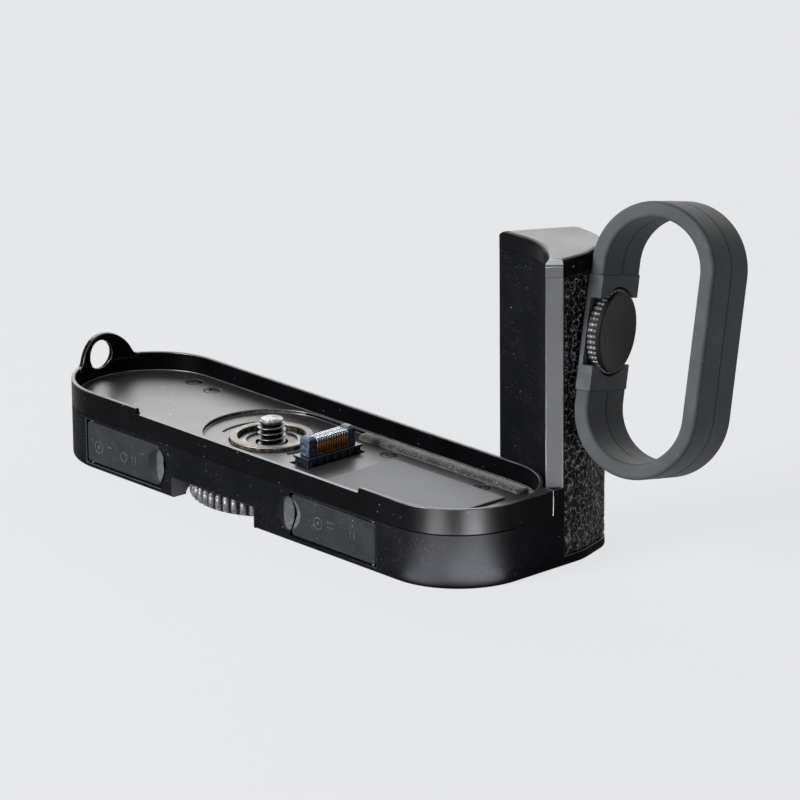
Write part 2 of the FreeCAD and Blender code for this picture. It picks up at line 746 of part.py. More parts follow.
def finish_tray(body):
    # The ear is the curved end wall carried up round the strap hole.
    sketch = doc.addObject("Sketcher::SketchObject", "ear_profile")
    sketch.Placement = Placement(Vector(), Rotation(Vector(1, 1, 1), 120))
    span = S.ear_radius + S.ear_foot_radius
    lift = S.rim_height + S.ear_foot_radius - S.ear_height
    foot = root(span * span - lift * lift)
    touch_y = foot * S.ear_radius / span
    touch_z = S.ear_height + lift * S.ear_radius / span
    bottom = S.rim_height - past
    top = S.ear_height + S.ear_radius
    draw_outline(sketch, [(middle - foot, bottom), (middle + foot, bottom),
                          (middle + foot, S.rim_height, -S.ear_foot_radius),
                          (middle + touch_y, touch_z, S.ear_radius), (middle, top, S.ear_radius),
                          (middle - touch_y, touch_z, -S.ear_foot_radius), (middle - foot, S.rim_height)])
    slab = doc.addObject("Part::Extrusion", "ear_slab")
    slab.Base = sketch
    slab.DirMode = "Custom"
    slab.Dir = Vector(-1, 0, 0)
    slab.Solid = True
    bind(slab, "LengthFwd", half_width + past)
    bind(sketch, "Placement.Base.x", left_centre)
    end_centre = spot(left_centre, middle)
    outside = solid_cylinder("ear_outside", half_width, S.ear_height + span, end_centre)
    inside = solid_cylinder("ear_inside", half_width - S.ear_thickness, S.ear_height + span, end_centre)
    wall = combine("Part::Cut", "ear_wall", outside, inside, final=False)
    ear = combine("Part::Common", "ear", slab, wall, final=False)
    whole = combine("Part::Fuse", "top_tray_with_ear", body, ear, final=False)
    hole_height = S.ear_height + S.ear_hole_rise
    lengthways = spot(-S.left_reach - past, middle - S.ear_hole_shift, hole_height, as_size(90), 90.0)
    hole = solid_cylinder("ear_hole", S.ear_hole_radius, half_width / 2, lengthways)
    combine("Part::Cut", "top_tray", whole, hole)


# What lies on the tray floor

def make_seal():
    # A strip along the far edge of the recess, its right end cut to the round end.
    body = new_body("light_seal")
    sketch = new_sketch(body, lift=recess_top)
    radius = recess_radius - S.seal_gap
    far = middle + radius
    near = far - S.seal_width
    end_y = middle + root(radius * radius - S.seal_overrun * S.seal_overrun)
    end_x = right_centre + S.seal_overrun
    draw_outline(sketch, [(S.seal_left, near), (end_x - S.seal_end_slant, near), (end_x, end_y, radius),
                          (right_centre, far), (S.seal_left, far)])
    pad(body, sketch, S.seal_thickness)
    top = recess_top + S.seal_thickness

    def near_top(edge):
        box = edge.BoundBox
        on_side = abs(box.YMin - float(near)) < close and box.YLength < close
        return on_side and abs(box.ZMin - float(top)) < close
    round_edges(body, near_top, S.seal_round)


def make_plate():
    body = new_body("floor_plate")
    sketch = new_sketch(body, lift=recess_top)
    right, near = S.right_reach - S.plate_right_gap, near_face + S.plate_near_gap
    draw_box(sketch, S.plate_left, right, near, far_face - S.plate_far_gap)
    pad(body, sketch, S.plate_thickness)
    round_edges(body, upright_at(right, near), S.plate_corner)
    round_edges(body, level_at(recess_top + S.plate_thickness), S.plate_edge, "PartDesign::Chamfer")


def make_connector():
    body = new_body("connector_base")
    half_x = S.plug_width / 2
    half_y = S.plug_length / 2
    sketch = new_sketch(body, lift=board_top)
    draw_box(sketch, S.plug_x - half_x, S.plug_x + half_x, S.plug_y - half_y, S.plug_y + half_y)
    pad(body, sketch, S.plug_base_top - board_top)
    body = new_body("connector_body")
    half_x = S.plug_body_width / 2
    half_y = S.plug_body_length / 2
    sketch = new_sketch(body, lift=S.plug_base_top)
    draw_box(sketch, S.plug_x - half_x, S.plug_x + half_x, S.plug_y - half_y, S.plug_y + half_y)
    pad(body, sketch, S.plug_top - S.plug_base_top)
    for sign in (-1, 1):
        sketch = new_sketch(body, lift=S.plug_base_top)
        ends = sorted([S.plug_y + half_y * sign, S.plug_y + (half_y - S.plug_block_length) * sign], key=float)
        draw_box(sketch, S.plug_x - half_x, S.plug_x + half_x, ends[0], ends[1])
        pad(body, sketch, S.plug_top + S.plug_block_rise - S.plug_base_top)
    round_edges(body, level_at(S.plug_top + S.plug_block_rise), S.plug_edge, "PartDesign::Chamfer")
    pins = []
    for sign in (-1, 1):
        for number in range(int(S.pins_per_side.number)):
            centre = S.plug_y + S.pin_pitch * (number - (int(S.pins_per_side.number) - 1) / 2)
            inner = S.plug_x + half_x * sign
            outer = S.plug_x + (half_x + S.pin_thickness) * sign
            low, high = sorted((inner, outer), key=float)
            pins.append(solid_box("contact", (low, centre - S.pin_width / 2, S.plug_base_top),
                                  (high, centre + S.pin_width / 2, S.plug_top - S.pin_drop)))
    group("connector_pins", pins)


def make_ring():
    body = new_body("guide_ring")
    low = floor_top - S.ring_drop
    foot = low + S.ring_base
    revolve(body, [(S.ring_hole, low), (S.ring_radius, low), (S.ring_radius, floor_top),
                   (S.ring_inner, floor_top), (S.ring_inner, foot), (S.ring_hole, foot)])
    round_edges(body, level_at(floor_top), S.ring_edge, "PartDesign::Chamfer")
    body = new_body("friction_washer")
    top = foot + S.washer_thickness
    revolve(body, [(S.washer_inner, foot), (S.washer_outer, foot), (S.washer_outer, top),
                   (S.washer_inner, top)])


# Thumbwheel and camera screw, which turn together

def make_wheel():
    body = new_body("thumbwheel")
    core = wheel_radius - S.ridge_sink
    sketch = new_sketch(body, lift=S.wheel_ride)
    draw_circle(sketch, 0, 0, core)
    draw_circle(sketch, 0, 0, S.barrel_radius)
    pad(body, sketch, S.wheel_thickness)
    sketch = new_sketch(body, lift=S.wheel_ride)
    draw_circle(sketch, 0, wheel_radius - S.ridge_radius, S.ridge_radius)
    ridge = pad(body, sketch, S.wheel_thickness)
    polar_copies(body, ridge, S.ridge_count)
    sketch = new_sketch(body, lift=S.wheel_ride)
    draw_circle(sketch, 0, 0, core - S.dish_rim)
    draw_circle(sketch, 0, 0, S.barrel_radius + S.hub_wall)
    pocket(body, sketch, S.dish_depth, reverse=True)
    body = new_body("camera_screw")
    groove = S.barrel_radius - S.clip_groove
    clip_low = well_top + S.clip_gap
    clip_high = clip_low + S.clip_thickness
    bore_top = S.wheel_ride + S.tripod_bore_depth
    revolve(body, [(S.tripod_bore_radius, S.wheel_ride), (S.barrel_radius, S.wheel_ride),
                   (S.barrel_radius, clip_low), (groove, clip_low), (groove, clip_high),
                   (S.barrel_radius, clip_high), (S.barrel_radius, S.barrel_top),
                   (S.neck_radius, S.barrel_top), (S.neck_radius, S.neck_top), (S.stud_radius, S.neck_top),
                   (S.stud_radius, S.stud_top - S.stud_chamfer), (S.stud_radius - S.stud_chamfer, S.stud_top),
                   (zero, S.stud_top), (zero, bore_top), (S.tripod_bore_radius, bore_top)])
    body = new_body("retaining_clip")
    revolve(body, [(groove, clip_low), (S.clip_radius, clip_low), (S.clip_radius, clip_high),
                   (groove, clip_high)])
    sketch = new_sketch(body, lift=clip_high)
    draw_box(sketch, zero, S.clip_radius + past, -S.clip_mouth / 2, S.clip_mouth / 2)
    pocket(body, sketch, S.clip_thickness * 2)


# Covers over the sockets, each on its own pin

def make_flap(side):
    left, right = flap_spans()[side]
    body = new_body("%s_flap" % side)
    outside = near_face + S.flap_sink
    sketch = new_sketch(body, "XZ_Plane", -outside)
    draw_box(sketch, left, right, S.flap_bottom, S.flap_bottom + S.flap_height)
    pad(body, sketch, S.flap_thickness, reverse=True)

    def corner(edge):
        box = edge.BoundBox
        return box.YLength > close and box.XLength < close and box.ZLength < close
    round_edges(body, corner, S.flap_corner)
    hinge_x = left + S.hinge_inset if side == "left" else right - S.hinge_inset
    hinge_y = outside + S.flap_thickness / 2
    end_x = left if side == "left" else right

    def heel(edge):
        box = edge.BoundBox
        at_end = abs(box.XMin - float(end_x)) < close and box.XLength < close
        return at_end and box.YLength < close
    round_edges(body, heel, S.flap_heel)
    bore = solid_cylinder("%s_hinge_bore" % side, S.hinge_pin_radius + S.running_gap, S.flap_height * 2,
                          spot(hinge_x, hinge_y))
    notch = notch_sphere("%s_flap_notch" % side, right if side == "left" else left)
    tools = doc.addObject("Part::Fuse", "%s_flap_cuts" % side)
    tools.Base = bore
    tools.Tool = notch
    combine("Part::Cut", "%s_flap" % side, body, tools)
    pin = solid_cylinder("%s_flap_pin" % side, S.hinge_pin_radius, S.flap_height + S.pin_reach * 2,
                         spot(hinge_x, hinge_y, S.flap_bottom - S.pin_reach))
    pieces.append(pin)


# Finger loop, its insert, the bush in the column and the clamping knob

def make_loop():
    body = new_body("finger_loop")
    low = S.loop_gap
    centre = low + S.loop_width / 2
    outer = S.loop_width / 2
    inner = outer - S.loop_band
    straight = S.loop_height / 2 - outer
    sketch = new_sketch(body, "YZ_Plane")
    top, foot = straight - S.loop_drop, -straight - S.loop_drop
    for radius in (outer, inner):
        draw_outline(sketch, [(foot, centre - radius), (top, centre - radius, radius),
                              (top + radius, centre, radius), (top, centre + radius),
                              (foot, centre + radius, radius), (foot - radius, centre, radius)])
    pad(body, sketch, S.loop_depth, middle_plane=True)
    sketch = new_sketch(body, "YZ_Plane")
    draw_box(sketch, -S.insert_down, S.insert_up, low - past, low + S.loop_band + past)
    pocket(body, sketch, S.loop_depth * 2, middle_plane=True)
    half = float(S.loop_depth) / 2

    def rim(edge):
        box = edge.BoundBox
        on_face = box.XLength < close and abs(abs(box.XMin) - half) < close
        return on_face and box.YLength > close
    round_edges(body, rim, S.loop_edge)
    bind_place(body, loop_place)
    body = new_body("loop_insert")
    sketch = new_sketch(body, "YZ_Plane")
    draw_box(sketch, -S.insert_down, S.insert_up, low, low + S.loop_band)
    pad(body, sketch, S.loop_depth, middle_plane=True)
    sketch = new_sketch(body, lift=low + S.loop_band)
    draw_circle(sketch, 0, 0, S.insert_pocket)
    pocket(body, sketch, S.loop_band - S.insert_back)
    sketch = new_sketch(body, lift=low + S.loop_band)
    draw_circle(sketch, 0, 0, S.bush_radius + S.running_gap)
    pocket(body, sketch, S.loop_band + past)
    bind_place(body, loop_place)


def make_knob():
    low = S.loop_gap + S.insert_back + S.knob_float
    top = S.loop_gap + S.loop_band + S.knob_proud
    body = new_body("loop_knob")
    sketch = new_sketch(body, lift=low)
    draw_circle(sketch, 0, 0, S.knob_radius - S.knurl_sink)
    pad(body, sketch, top - low)
    round_edges(body, level_at(top), S.knob_edge, "PartDesign::Chamfer")
    sketch = new_sketch(body, lift=low)
    draw_circle(sketch, 0, S.knob_radius - S.knurl_radius, S.knurl_radius)
    ridge = pad(body, sketch, top - low - S.knob_edge)
    polar_copies(body, ridge, S.knurl_count)
    sketch = new_sketch(body, lift=low)
    draw_circle(sketch, 0, 0, S.bush_radius + S.running_gap)
    pocket(body, sketch, S.bush_pilot, reverse=True)
    bind_place(body, knob_place)
    body = new_body("knob_screw")
    sketch = new_sketch(body, lift=-S.knob_stem)
    draw_circle(sketch, 0, 0, S.knob_stem_radius)
    pad(body, sketch, S.knob_stem + low + S.bush_pilot)
    bind_place(body, knob_place)
    body = new_body("loop_bush")
    bore, end = S.knob_stem_radius + S.running_gap, low + S.bush_pilot / 2
    revolve(body, [(bore, -S.bush_length), (S.bush_radius, -S.bush_length), (S.bush_radius, -S.collar_depth),
                   (S.collar_radius, -S.collar_depth), (S.collar_radius, zero), (S.bush_radius, zero),
                   (S.bush_radius, end), (bore, end)])
    bind_place(body, knob_place)


# Board, sockets, antenna and screws

def make_board():
    body = new_body("main_board")
    sketch = new_sketch(body, lift=S.board_level)
    draw_box(sketch, left_centre - S.board_left_overrun, board_right, near_face + S.board_near_gap, board_far)
    pad(body, sketch, S.board_thickness)
    sketch = new_sketch(body, lift=S.board_level)
    draw_circle(sketch, 0, 0, S.ring_radius + S.board_ring_gap)
    pocket(body, sketch, S.board_thickness, reverse=True)
    through = [(x, y) for x, y, _ in tray_screw_places() if float(x) < float(board_right)]
    for x, y in through:
        sketch = new_sketch(body, lift=S.board_level)
        draw_circle(sketch, x, y, S.post_radius + S.board_post_gap)
        pocket(body, sketch, S.board_thickness, reverse=True)
    for x, y, _ in board_screw_places():
        sketch = new_sketch(body, lift=S.board_level)
        draw_circle(sketch, x, y, S.screw_bore + S.board_screw_gap)
        pocket(body, sketch, S.board_thickness, reverse=True)


def make_square_socket(label, x, width, height):
    body = new_body(label)
    front = near_face + S.housing_wall + S.socket_gap
    low = S.board_level - height - S.socket_foot
    wall = S.socket_wall
    sketch = new_sketch(body, "XZ_Plane", -front)
    draw_box(sketch, x - width / 2, x + width / 2, low, S.board_level)
    pad(body, sketch, S.socket_depth, reverse=True)
    sketch = new_sketch(body, "XZ_Plane", -front)
    draw_box(sketch, x - width / 2 + wall, x + width / 2 - wall, low + wall, S.board_level - wall)
    pocket(body, sketch, S.socket_depth - S.socket_back)
    sketch = new_sketch(body, "XZ_Plane", -front - S.tongue_setback)
    level = (low + S.board_level) / 2
    draw_box(sketch, x - width / 4, x + width / 4, level - wall / 2, level + wall / 2)
    pad(body, sketch, S.socket_depth - S.socket_back / 2 - S.tongue_setback, reverse=True)


def make_round_socket(label, x, radius, bore, centre_pin):
    body = new_body(label)
    front = near_face + S.housing_wall + S.socket_gap
    sketch = new_sketch(body, "XZ_Plane", -front)
    draw_circle(sketch, x, S.jack_level, radius)
    pad(body, sketch, S.jack_depth, reverse=True)
    sketch = new_sketch(body, "XZ_Plane", -front - S.jack_foot_setback)
    draw_box(sketch, x - radius, x + radius, S.jack_level, S.board_level)
    pad(body, sketch, S.jack_depth - S.jack_foot_setback, reverse=True)
    sketch = new_sketch(body, "XZ_Plane", -front)
    draw_circle(sketch, x, S.jack_level, bore)
    pocket(body, sketch, S.jack_depth - S.jack_back)
    sketch = new_sketch(body, "XZ_Plane", -front - S.jack_pin_setback)
    draw_circle(sketch, x, S.jack_level, centre_pin)
    pad(body, sketch, S.jack_depth - S.jack_back / 2 - S.jack_pin_setback, reverse=True)


def make_sockets():
    # Each sits behind its cover, measured along from the cover's finger notch.
    left, right = -S.left_flap_right, S.right_flap_left
    make_square_socket("usb_socket", left - S.usb_along, S.usb_width, S.usb_height)
    make_round_socket("power_socket", left - S.power_along, S.power_radius, S.power_bore, S.power_pin)
    make_square_socket("flash_socket", right + S.flash_along, S.flash_width, S.flash_height)
    make_round_socket("sync_socket", right + S.sync_along, S.sync_radius, S.sync_bore, S.sync_pin)


def make_antenna():
    body = new_body("antenna_board")
    sketch = new_sketch(body, lift=S.column_height)
    draw_circle(sketch, shaft_x, shaft_y, S.shaft_radius + S.antenna_board_lap)
    pad(body, sketch, S.antenna_board)
    body = new_body("antenna_patch")
    sketch = new_sketch(body, lift=S.column_height + S.antenna_board)
    half = S.antenna_side / 2
    draw_box(sketch, shaft_x - half, shaft_x + half, shaft_y - half, shaft_y + half)
    pad(body, sketch, S.patch_thickness)


def make_cable():
    # A flat film from the board's top, down through the duct and up the shaft to the antenna.
    body = new_body("antenna_cable")
    sketch = new_sketch(body, "YZ_Plane", board_right - S.cable_width)
    thick = S.cable_thickness
    start, bend = board_far - S.cable_lap, board_far + S.cable_overhang
    face = shaft_y - S.cable_setback
    low, top = S.cable_level, S.column_height
    draw_outline(sketch, [(start, board_top), (bend, board_top), (bend, low), (face + thick, low),
                          (face + thick, top), (face, top), (face, low + thick), (bend + thick, low + thick),
                          (bend + thick, board_top + thick), (start, board_top + thick)])
    pad(body, sketch, S.cable_width)


def make_screws():
    # Cross-head screws that hold the tray, and the smaller set that holds the board.
    for label, places, sink in (("tray_screws", tray_screw_places(), S.screw_sink),
                                ("board_screws", board_screw_places(), S.screw_head)):
        screws = []
        for number, (x, y, level) in enumerate(places):
            body = new_body("%s_%d" % (label, number + 1))
            sketch = new_sketch(body, lift=level - sink)
            draw_circle(sketch, x, y, S.screw_head_radius)
            pad(body, sketch, S.screw_head)
            sketch = new_sketch(body, lift=level - sink)
            draw_circle(sketch, x, y, S.screw_bore)
            pad(body, sketch, S.screw_shank, reverse=True)
            screws.append(body)
        group(label, screws)


def check_document():
    for thing in doc.Objects:
        if "Invalid" in thing.State or "Error" in thing.State:
            raise RuntimeError("%s is %s" % (thing.Label, thing.State))
    for piece in pieces:
        if piece.Shape.isNull() or not piece.Shape.isValid() or not piece.Shape.Solids:
            raise RuntimeError("%s has no sound shape" % piece.Label)


def build():
    leather = make_leather()
    finish_housing(make_housing(), leather)
    make_cap()
    finish_tray(make_tray())
    make_seal()
    make_plate()
    make_connector()
    make_ring()
    make_wheel()
    for side in ("left", "right"):
        make_flap(side)
    make_loop()
    make_knob()
    make_board()
    make_sockets()
    make_antenna()
    make_cable()
    make_screws()
    doc.recompute()
    check_document()
    os.makedirs("parts", exist_ok=True)
    for piece in pieces:
        piece.Shape.exportStep("parts/%s.step" % piece.Label)
        box = piece.Shape.BoundBox
        print("%-18s solids %2d  %s" % (piece.Label, len(piece.Shape.Solids),
              " ".join("%.2f" % v for v in (box.XMin, box.XMax, box.YMin, box.YMax, box.ZMin, box.ZMax))))


build()
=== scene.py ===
import bmesh
import bpy
import json
import math
from mathutils import Euler, Matrix, Vector, noise

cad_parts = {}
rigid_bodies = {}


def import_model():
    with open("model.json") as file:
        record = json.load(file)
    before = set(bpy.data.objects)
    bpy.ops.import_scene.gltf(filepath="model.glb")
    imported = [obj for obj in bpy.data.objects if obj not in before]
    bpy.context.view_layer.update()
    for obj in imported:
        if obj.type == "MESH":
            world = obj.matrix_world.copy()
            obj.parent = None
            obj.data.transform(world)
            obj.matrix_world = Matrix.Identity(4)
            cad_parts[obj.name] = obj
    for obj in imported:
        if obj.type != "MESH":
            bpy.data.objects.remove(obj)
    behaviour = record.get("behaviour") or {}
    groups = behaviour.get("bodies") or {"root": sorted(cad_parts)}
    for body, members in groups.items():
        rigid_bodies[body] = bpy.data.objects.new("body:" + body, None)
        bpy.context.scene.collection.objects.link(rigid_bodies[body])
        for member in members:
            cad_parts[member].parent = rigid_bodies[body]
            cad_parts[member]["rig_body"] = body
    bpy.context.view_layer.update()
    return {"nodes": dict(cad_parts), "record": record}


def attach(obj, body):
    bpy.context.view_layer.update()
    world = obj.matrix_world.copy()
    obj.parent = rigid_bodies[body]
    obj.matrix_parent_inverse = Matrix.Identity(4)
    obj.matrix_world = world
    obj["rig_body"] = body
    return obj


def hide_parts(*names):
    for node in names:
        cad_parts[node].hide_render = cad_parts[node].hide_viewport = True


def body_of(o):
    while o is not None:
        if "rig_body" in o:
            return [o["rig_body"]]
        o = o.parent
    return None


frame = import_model()
nodes = frame["nodes"]
print("frame loaded:", len(nodes), "nodes")

mm = 0.001

# Materials: every pattern lies on Object coordinates, with its size in millimetres


def linear(hexText):  # sRGB hex to the linear values that the shader takes
    parts = [int(hexText[k:k + 2], 16) / 255 for k in (1, 3, 5)]
    return tuple(c / 12.92 if c <= 0.04045 else ((c + 0.055) / 1.055) ** 2.4 for c in parts) + (1.0,)


def addNode(tree, kind, settings=None, links=None, stops=()):
    # a setting is the node's own or a socket's value, a link can be a colour, and stops fill a colour ramp
    node = tree.nodes.new(kind)
    for name, value in (settings or {}).items():
        if isinstance(name, str) and hasattr(node, name) and name not in node.inputs:
            setattr(node, name, value)
        else:
            node.inputs[name].default_value = value
    for name, source in (links or {}).items():
        if isinstance(source, str):
            node.inputs[name].default_value = linear(source)
        else:
            tree.links.new(source, node.inputs[name])
    if stops:
        band = node.color_ramp.elements
        while len(band) < len(stops):
            band.new(1.0)
        for element, (position, tone) in zip(band, stops):
            element.position = position
            element.color = linear(tone) if isinstance(tone, str) else (tone, tone, tone, 1.0)
    return node


def newMaterial(name, colour, roughness, metallic=0.0, ior=1.5, **extra):
    material = bpy.data.materials.new(name)
    material.use_nodes = True
    tree = material.node_tree
    shader = tree.nodes["Principled BSDF"]
    shader.inputs["Base Color"].default_value = linear(colour)
    shader.inputs["Roughness"].default_value = roughness
    shader.inputs["Metallic"].default_value = metallic
    if not metallic:
        shader.inputs["IOR"].default_value = ior
    for label, value in extra.items():
        shader.inputs[label.replace("_", " ")].default_value = value
    return material, tree, shader


def place(tree, size=1.0, stretch=(1, 1, 1)):
    # where a pattern lies, counted in steps of its own size in millimetres
    where = addNode(tree, "ShaderNodeTexCoord")
    scale = tuple(1 / (mm * size * share) for share in stretch)
    spot = addNode(tree, "ShaderNodeMapping", {"Scale": scale}, {"Vector": where.outputs["Object"]})
    return spot.outputs["Vector"]


def specks(tree, look):
    # lint and dust: small round specks that gather in patches
    dots = addNode(tree, "ShaderNodeTexVoronoi", {"Scale": 1.0, "Randomness": 1.0},
                   {"Vector": place(tree, look["spacing"])})
    spots = addNode(tree, "ShaderNodeValToRGB", None, {"Fac": dots.outputs["Distance"]},
                    [(0.0, 1.0), (look["size"], 0.7), (look["size"] * 1.6, 0.0)])
    patch = addNode(tree, "ShaderNodeTexNoise", {"Scale": 1.0, "Detail": 2.0},
                    {"Vector": place(tree, look["patch"])})
    where = addNode(tree, "ShaderNodeValToRGB", None, {"Fac": patch.outputs["Fac"]},
                    [(0.45, 0.0), (0.62, look["amount"])])
    return addNode(tree, "ShaderNodeMath", {"operation": "MULTIPLY"},
                   {0: spots.outputs["Color"], 1: where.outputs["Color"]}).outputs[0]


def dusted(tree, shader, tint, look):
    # lays each of the finish's dusts over its colour
    for dust in look.get("dust", ()):
        mix = addNode(tree, "ShaderNodeMix", {"data_type": "RGBA"},
                      {"Factor": specks(tree, dust), 6: tint, 7: dust["colour"]})
        tint = mix.outputs[2]
    tree.links.new(tint, shader.inputs["Base Color"])


def pressed(tree, shader, source, depth, strength=1.0, under=None):
    # presses a pattern this many millimetres deep into the surface, over an earlier one if there is one
    links = {"Height": source}
    if under:
        links["Normal"] = under
    relief = addNode(tree, "ShaderNodeBump", {"Distance": depth * mm, "Strength": strength}, links)
    tree.links.new(relief.outputs["Normal"], shader.inputs["Normal"])
    return relief.outputs["Normal"]


def unevenGloss(tree, shader, source, low, high, ends):
    # the gloss wanders between two roughness values
    gloss = addNode(tree, "ShaderNodeValToRGB", None, {"Fac": source}, [(ends[0], low), (ends[1], high)])
    tree.links.new(gloss.outputs["Color"], shader.inputs["Roughness"])


def skinned(name, look):
    # painted, moulded or plated skin: an even grain, faint clouds in colour and gloss, dust in patches
    material, tree, shader = newMaterial(name, look["colour"], look["roughness"], **look.get("shader", {}))
    cloud = addNode(tree, "ShaderNodeTexNoise", {"Scale": 1.0, "Detail": 4.0},
                    {"Vector": place(tree, look.get("cloud", 9.0))}).outputs["Fac"]
    tint = addNode(tree, "ShaderNodeValToRGB", None, {"Fac": cloud},
                   [(0.35, look["colour"]), (0.7, look["light"])])
    spread = look.get("spread", 0.04)
    unevenGloss(tree, shader, cloud, look["roughness"] - spread, look["roughness"] + spread, (0.3, 0.75))
    dusted(tree, shader, tint.outputs["Color"], look)
    grain = addNode(tree, "ShaderNodeTexNoise", {"Scale": 1.0, "Detail": 3.0},
                    {"Vector": place(tree, look["grain"])})
    pressed(tree, shader, grain.outputs["Fac"], look["height"])
    return material


def embossed(name, look):
    # pressed sheet: its creases' near flanks, an attribute of the mesh, carry a painted highlight and are
    # glossier in patches, and a net of fine creases, painted as pale glints in patches, runs over it
    material, tree, shader = newMaterial(name, look["colour"], look["roughness"], **look["shader"])
    flank = addNode(tree, "ShaderNodeAttribute", {"attribute_name": "flank"})
    glintPatches = addNode(tree, "ShaderNodeTexNoise", {"Scale": 1.0, "Detail": 3.0},
                      {"Vector": place(tree, look["glintPatches"])})
    most = addNode(tree, "ShaderNodeValToRGB", None, {"Fac": glintPatches.outputs["Fac"]},
                   [(0.4, 0.15), (0.62, 1.0)])
    lit = addNode(tree, "ShaderNodeMath", {"operation": "MULTIPLY"},
                  {0: flank.outputs["Fac"], 1: most.outputs["Color"]}).outputs[0]
    # painted highlight: where a crease's flank faces the light, the black grades through the flank grey to
    # the glint
    sheet = addNode(tree, "ShaderNodeValToRGB", None, {"Fac": lit},
                    [(0.25, look["colour"]), (0.5, look["flank"]), (0.95, look["glint"])])
    unevenGloss(tree, shader, lit, look["roughness"], look["polish"], (0.1, 0.5))
    bend = addNode(tree, "ShaderNodeTexNoise", {"Scale": 1.0, "Detail": 2.0},
                   {"Vector": place(tree, look["cell"])})
    bent = addNode(tree, "ShaderNodeVectorMath", {"operation": "MULTIPLY_ADD", 1: (0.9, 0.9, 0.9)},
                   {0: bend.outputs["Color"], 2: place(tree, look["cell"], (1.0, 1.0, 1.35))})
    net = addNode(tree, "ShaderNodeTexVoronoi", {"feature": "DISTANCE_TO_EDGE", "Scale": 1.0},
                  {"Vector": bent.outputs[0]}).outputs["Distance"]
    # painted glints: pale lines along the fine creases, shown only in patches
    lines = addNode(tree, "ShaderNodeValToRGB", None, {"Fac": net},
                    [(0.0, 1.0), (look["line"], 0.8), (look["line"] * 2.4, 0.0)])
    wear = addNode(tree, "ShaderNodeTexNoise", {"Scale": 1.0, "Detail": 2.0},
                   {"Vector": place(tree, look["wear"])})
    where = addNode(tree, "ShaderNodeValToRGB", None, {"Fac": wear.outputs["Fac"]},
                    [(0.42, 0.05), (0.6, 1.0)])
    pale = addNode(tree, "ShaderNodeMath", {"operation": "MULTIPLY"},
                   {0: lines.outputs["Color"], 1: where.outputs["Color"]})
    mix = addNode(tree, "ShaderNodeMix", {"data_type": "RGBA"},
                  {"Factor": pale.outputs[0], 6: sheet.outputs["Color"], 7: look["crease"]})
    tree.links.new(mix.outputs[2], shader.inputs["Base Color"])
    pores = addNode(tree, "ShaderNodeTexNoise", {"Scale": 1.0, "Detail": 3.0},
                    {"Vector": place(tree, look["pore"])})
    first = pressed(tree, shader, pores.outputs["Fac"], look["poreDepth"])
    cells = addNode(tree, "ShaderNodeValToRGB", None, {"Fac": net}, [(0.0, 0.0), (0.3, 1.0)])
    pressed(tree, shader, cells.outputs["Color"], look["cellDepth"], 0.9, first)
    return material


def threaded(name, look):
    # rolled thread: bright crests and roots darkened with painted shade; the crests are an attribute of the
    # mesh
    material, tree, shader = newMaterial(name, look["root"], look["roughness"], 1.0)
    crest = addNode(tree, "ShaderNodeAttribute", {"attribute_name": "crest"})
    tint = addNode(tree, "ShaderNodeValToRGB", None, {"Fac": crest.outputs["Fac"]},
                   [(0.35, look["root"]), (0.8, look["colour"])])
    tree.links.new(tint.outputs["Color"], shader.inputs["Base Color"])
    wear = addNode(tree, "ShaderNodeTexNoise", {"Scale": 1.0, "Detail": 3.0},
                   {"Vector": place(tree, look["wear"])}).outputs["Fac"]
    unevenGloss(tree, shader, wear, look["roughness"] * 0.8, look["roughness"] * 1.3, (0.3, 0.7))
    pressed(tree, shader, wear, look["wearDepth"])
    return material


def paintedLightNotch(name, look):
    # a finger notch: a pale oval of painted light, flecked with dust, in its hollow, and a dark tone round it
    material = skinned(name, look)
    tree = material.node_tree
    shader = tree.nodes["Principled BSDF"]
    where = addNode(tree, "ShaderNodeTexCoord")
    x, z = look["middle"]
    wide, high = look["half"]
    shift = addNode(tree, "ShaderNodeMapping",
                    {"Scale": (1 / (wide * mm), 0.0, 1 / (high * mm)),
                     "Location": (-x / wide, 0.0, -z / high)},
                    {"Vector": where.outputs["Object"]})
    reach = addNode(tree, "ShaderNodeVectorMath", {"operation": "LENGTH"}, {0: shift.outputs["Vector"]})
    inside = addNode(tree, "ShaderNodeValToRGB", None, {"Fac": reach.outputs["Value"]},
                     [(0.0, 1.0), (0.86, 1.0), (0.97, 0.0)])
    paleLitTone = shader.inputs["Base Color"].links[0].from_socket
    mix = addNode(tree, "ShaderNodeMix", {"data_type": "RGBA"},
                  {"Factor": inside.outputs["Color"], 6: look["round"], 7: paleLitTone})
    tree.links.new(mix.outputs[2], shader.inputs["Base Color"])
    return material


waveTurns = 20  # a wave texture runs through this many radians in one step


def turnedMetal(name, look):
    # lathe-turned metal: fine rings about the camera screw's axis
    material, tree, shader = newMaterial(name, look["colour"], look["roughness"], 1.0)
    rings = addNode(tree, "ShaderNodeTexWave", {"wave_type": "RINGS", "rings_direction": "Z", "Scale": 1.0,
                                               "Distortion": 0.4, "Detail": 2.0},
                    {"Vector": place(tree, look["groove"] * waveTurns)})
    pressed(tree, shader, rings.outputs["Fac"], look["height"])
    cloud = addNode(tree, "ShaderNodeTexNoise", {"Scale": 1.0, "Detail": 3.0},
                    {"Vector": place(tree, 2.0)}).outputs["Fac"]
    unevenGloss(tree, shader, cloud, look["roughness"] * 0.8, look["roughness"] * 1.3, (0.3, 0.7))
    tint = addNode(tree, "ShaderNodeValToRGB", None, {"Fac": cloud},
                   [(0.35, look["dark"]), (0.65, look["colour"])])
    dusted(tree, shader, tint.outputs["Color"], look)
    return material


# Dusts: the specks' spacing and the patches they gather in, their size and amount as shares
fineDust = {"spacing": 0.55, "size": 0.2, "patch": 3.0, "amount": 0.55, "colour": "#8b8984"}
sparseDust = {"spacing": 1.9, "size": 0.07, "patch": 6.0, "amount": 0.9, "colour": "#a9a7a2"}
lint = {"spacing": 4.3, "size": 0.045, "patch": 14.0, "amount": 1.0, "colour": "#d5d3cf"}

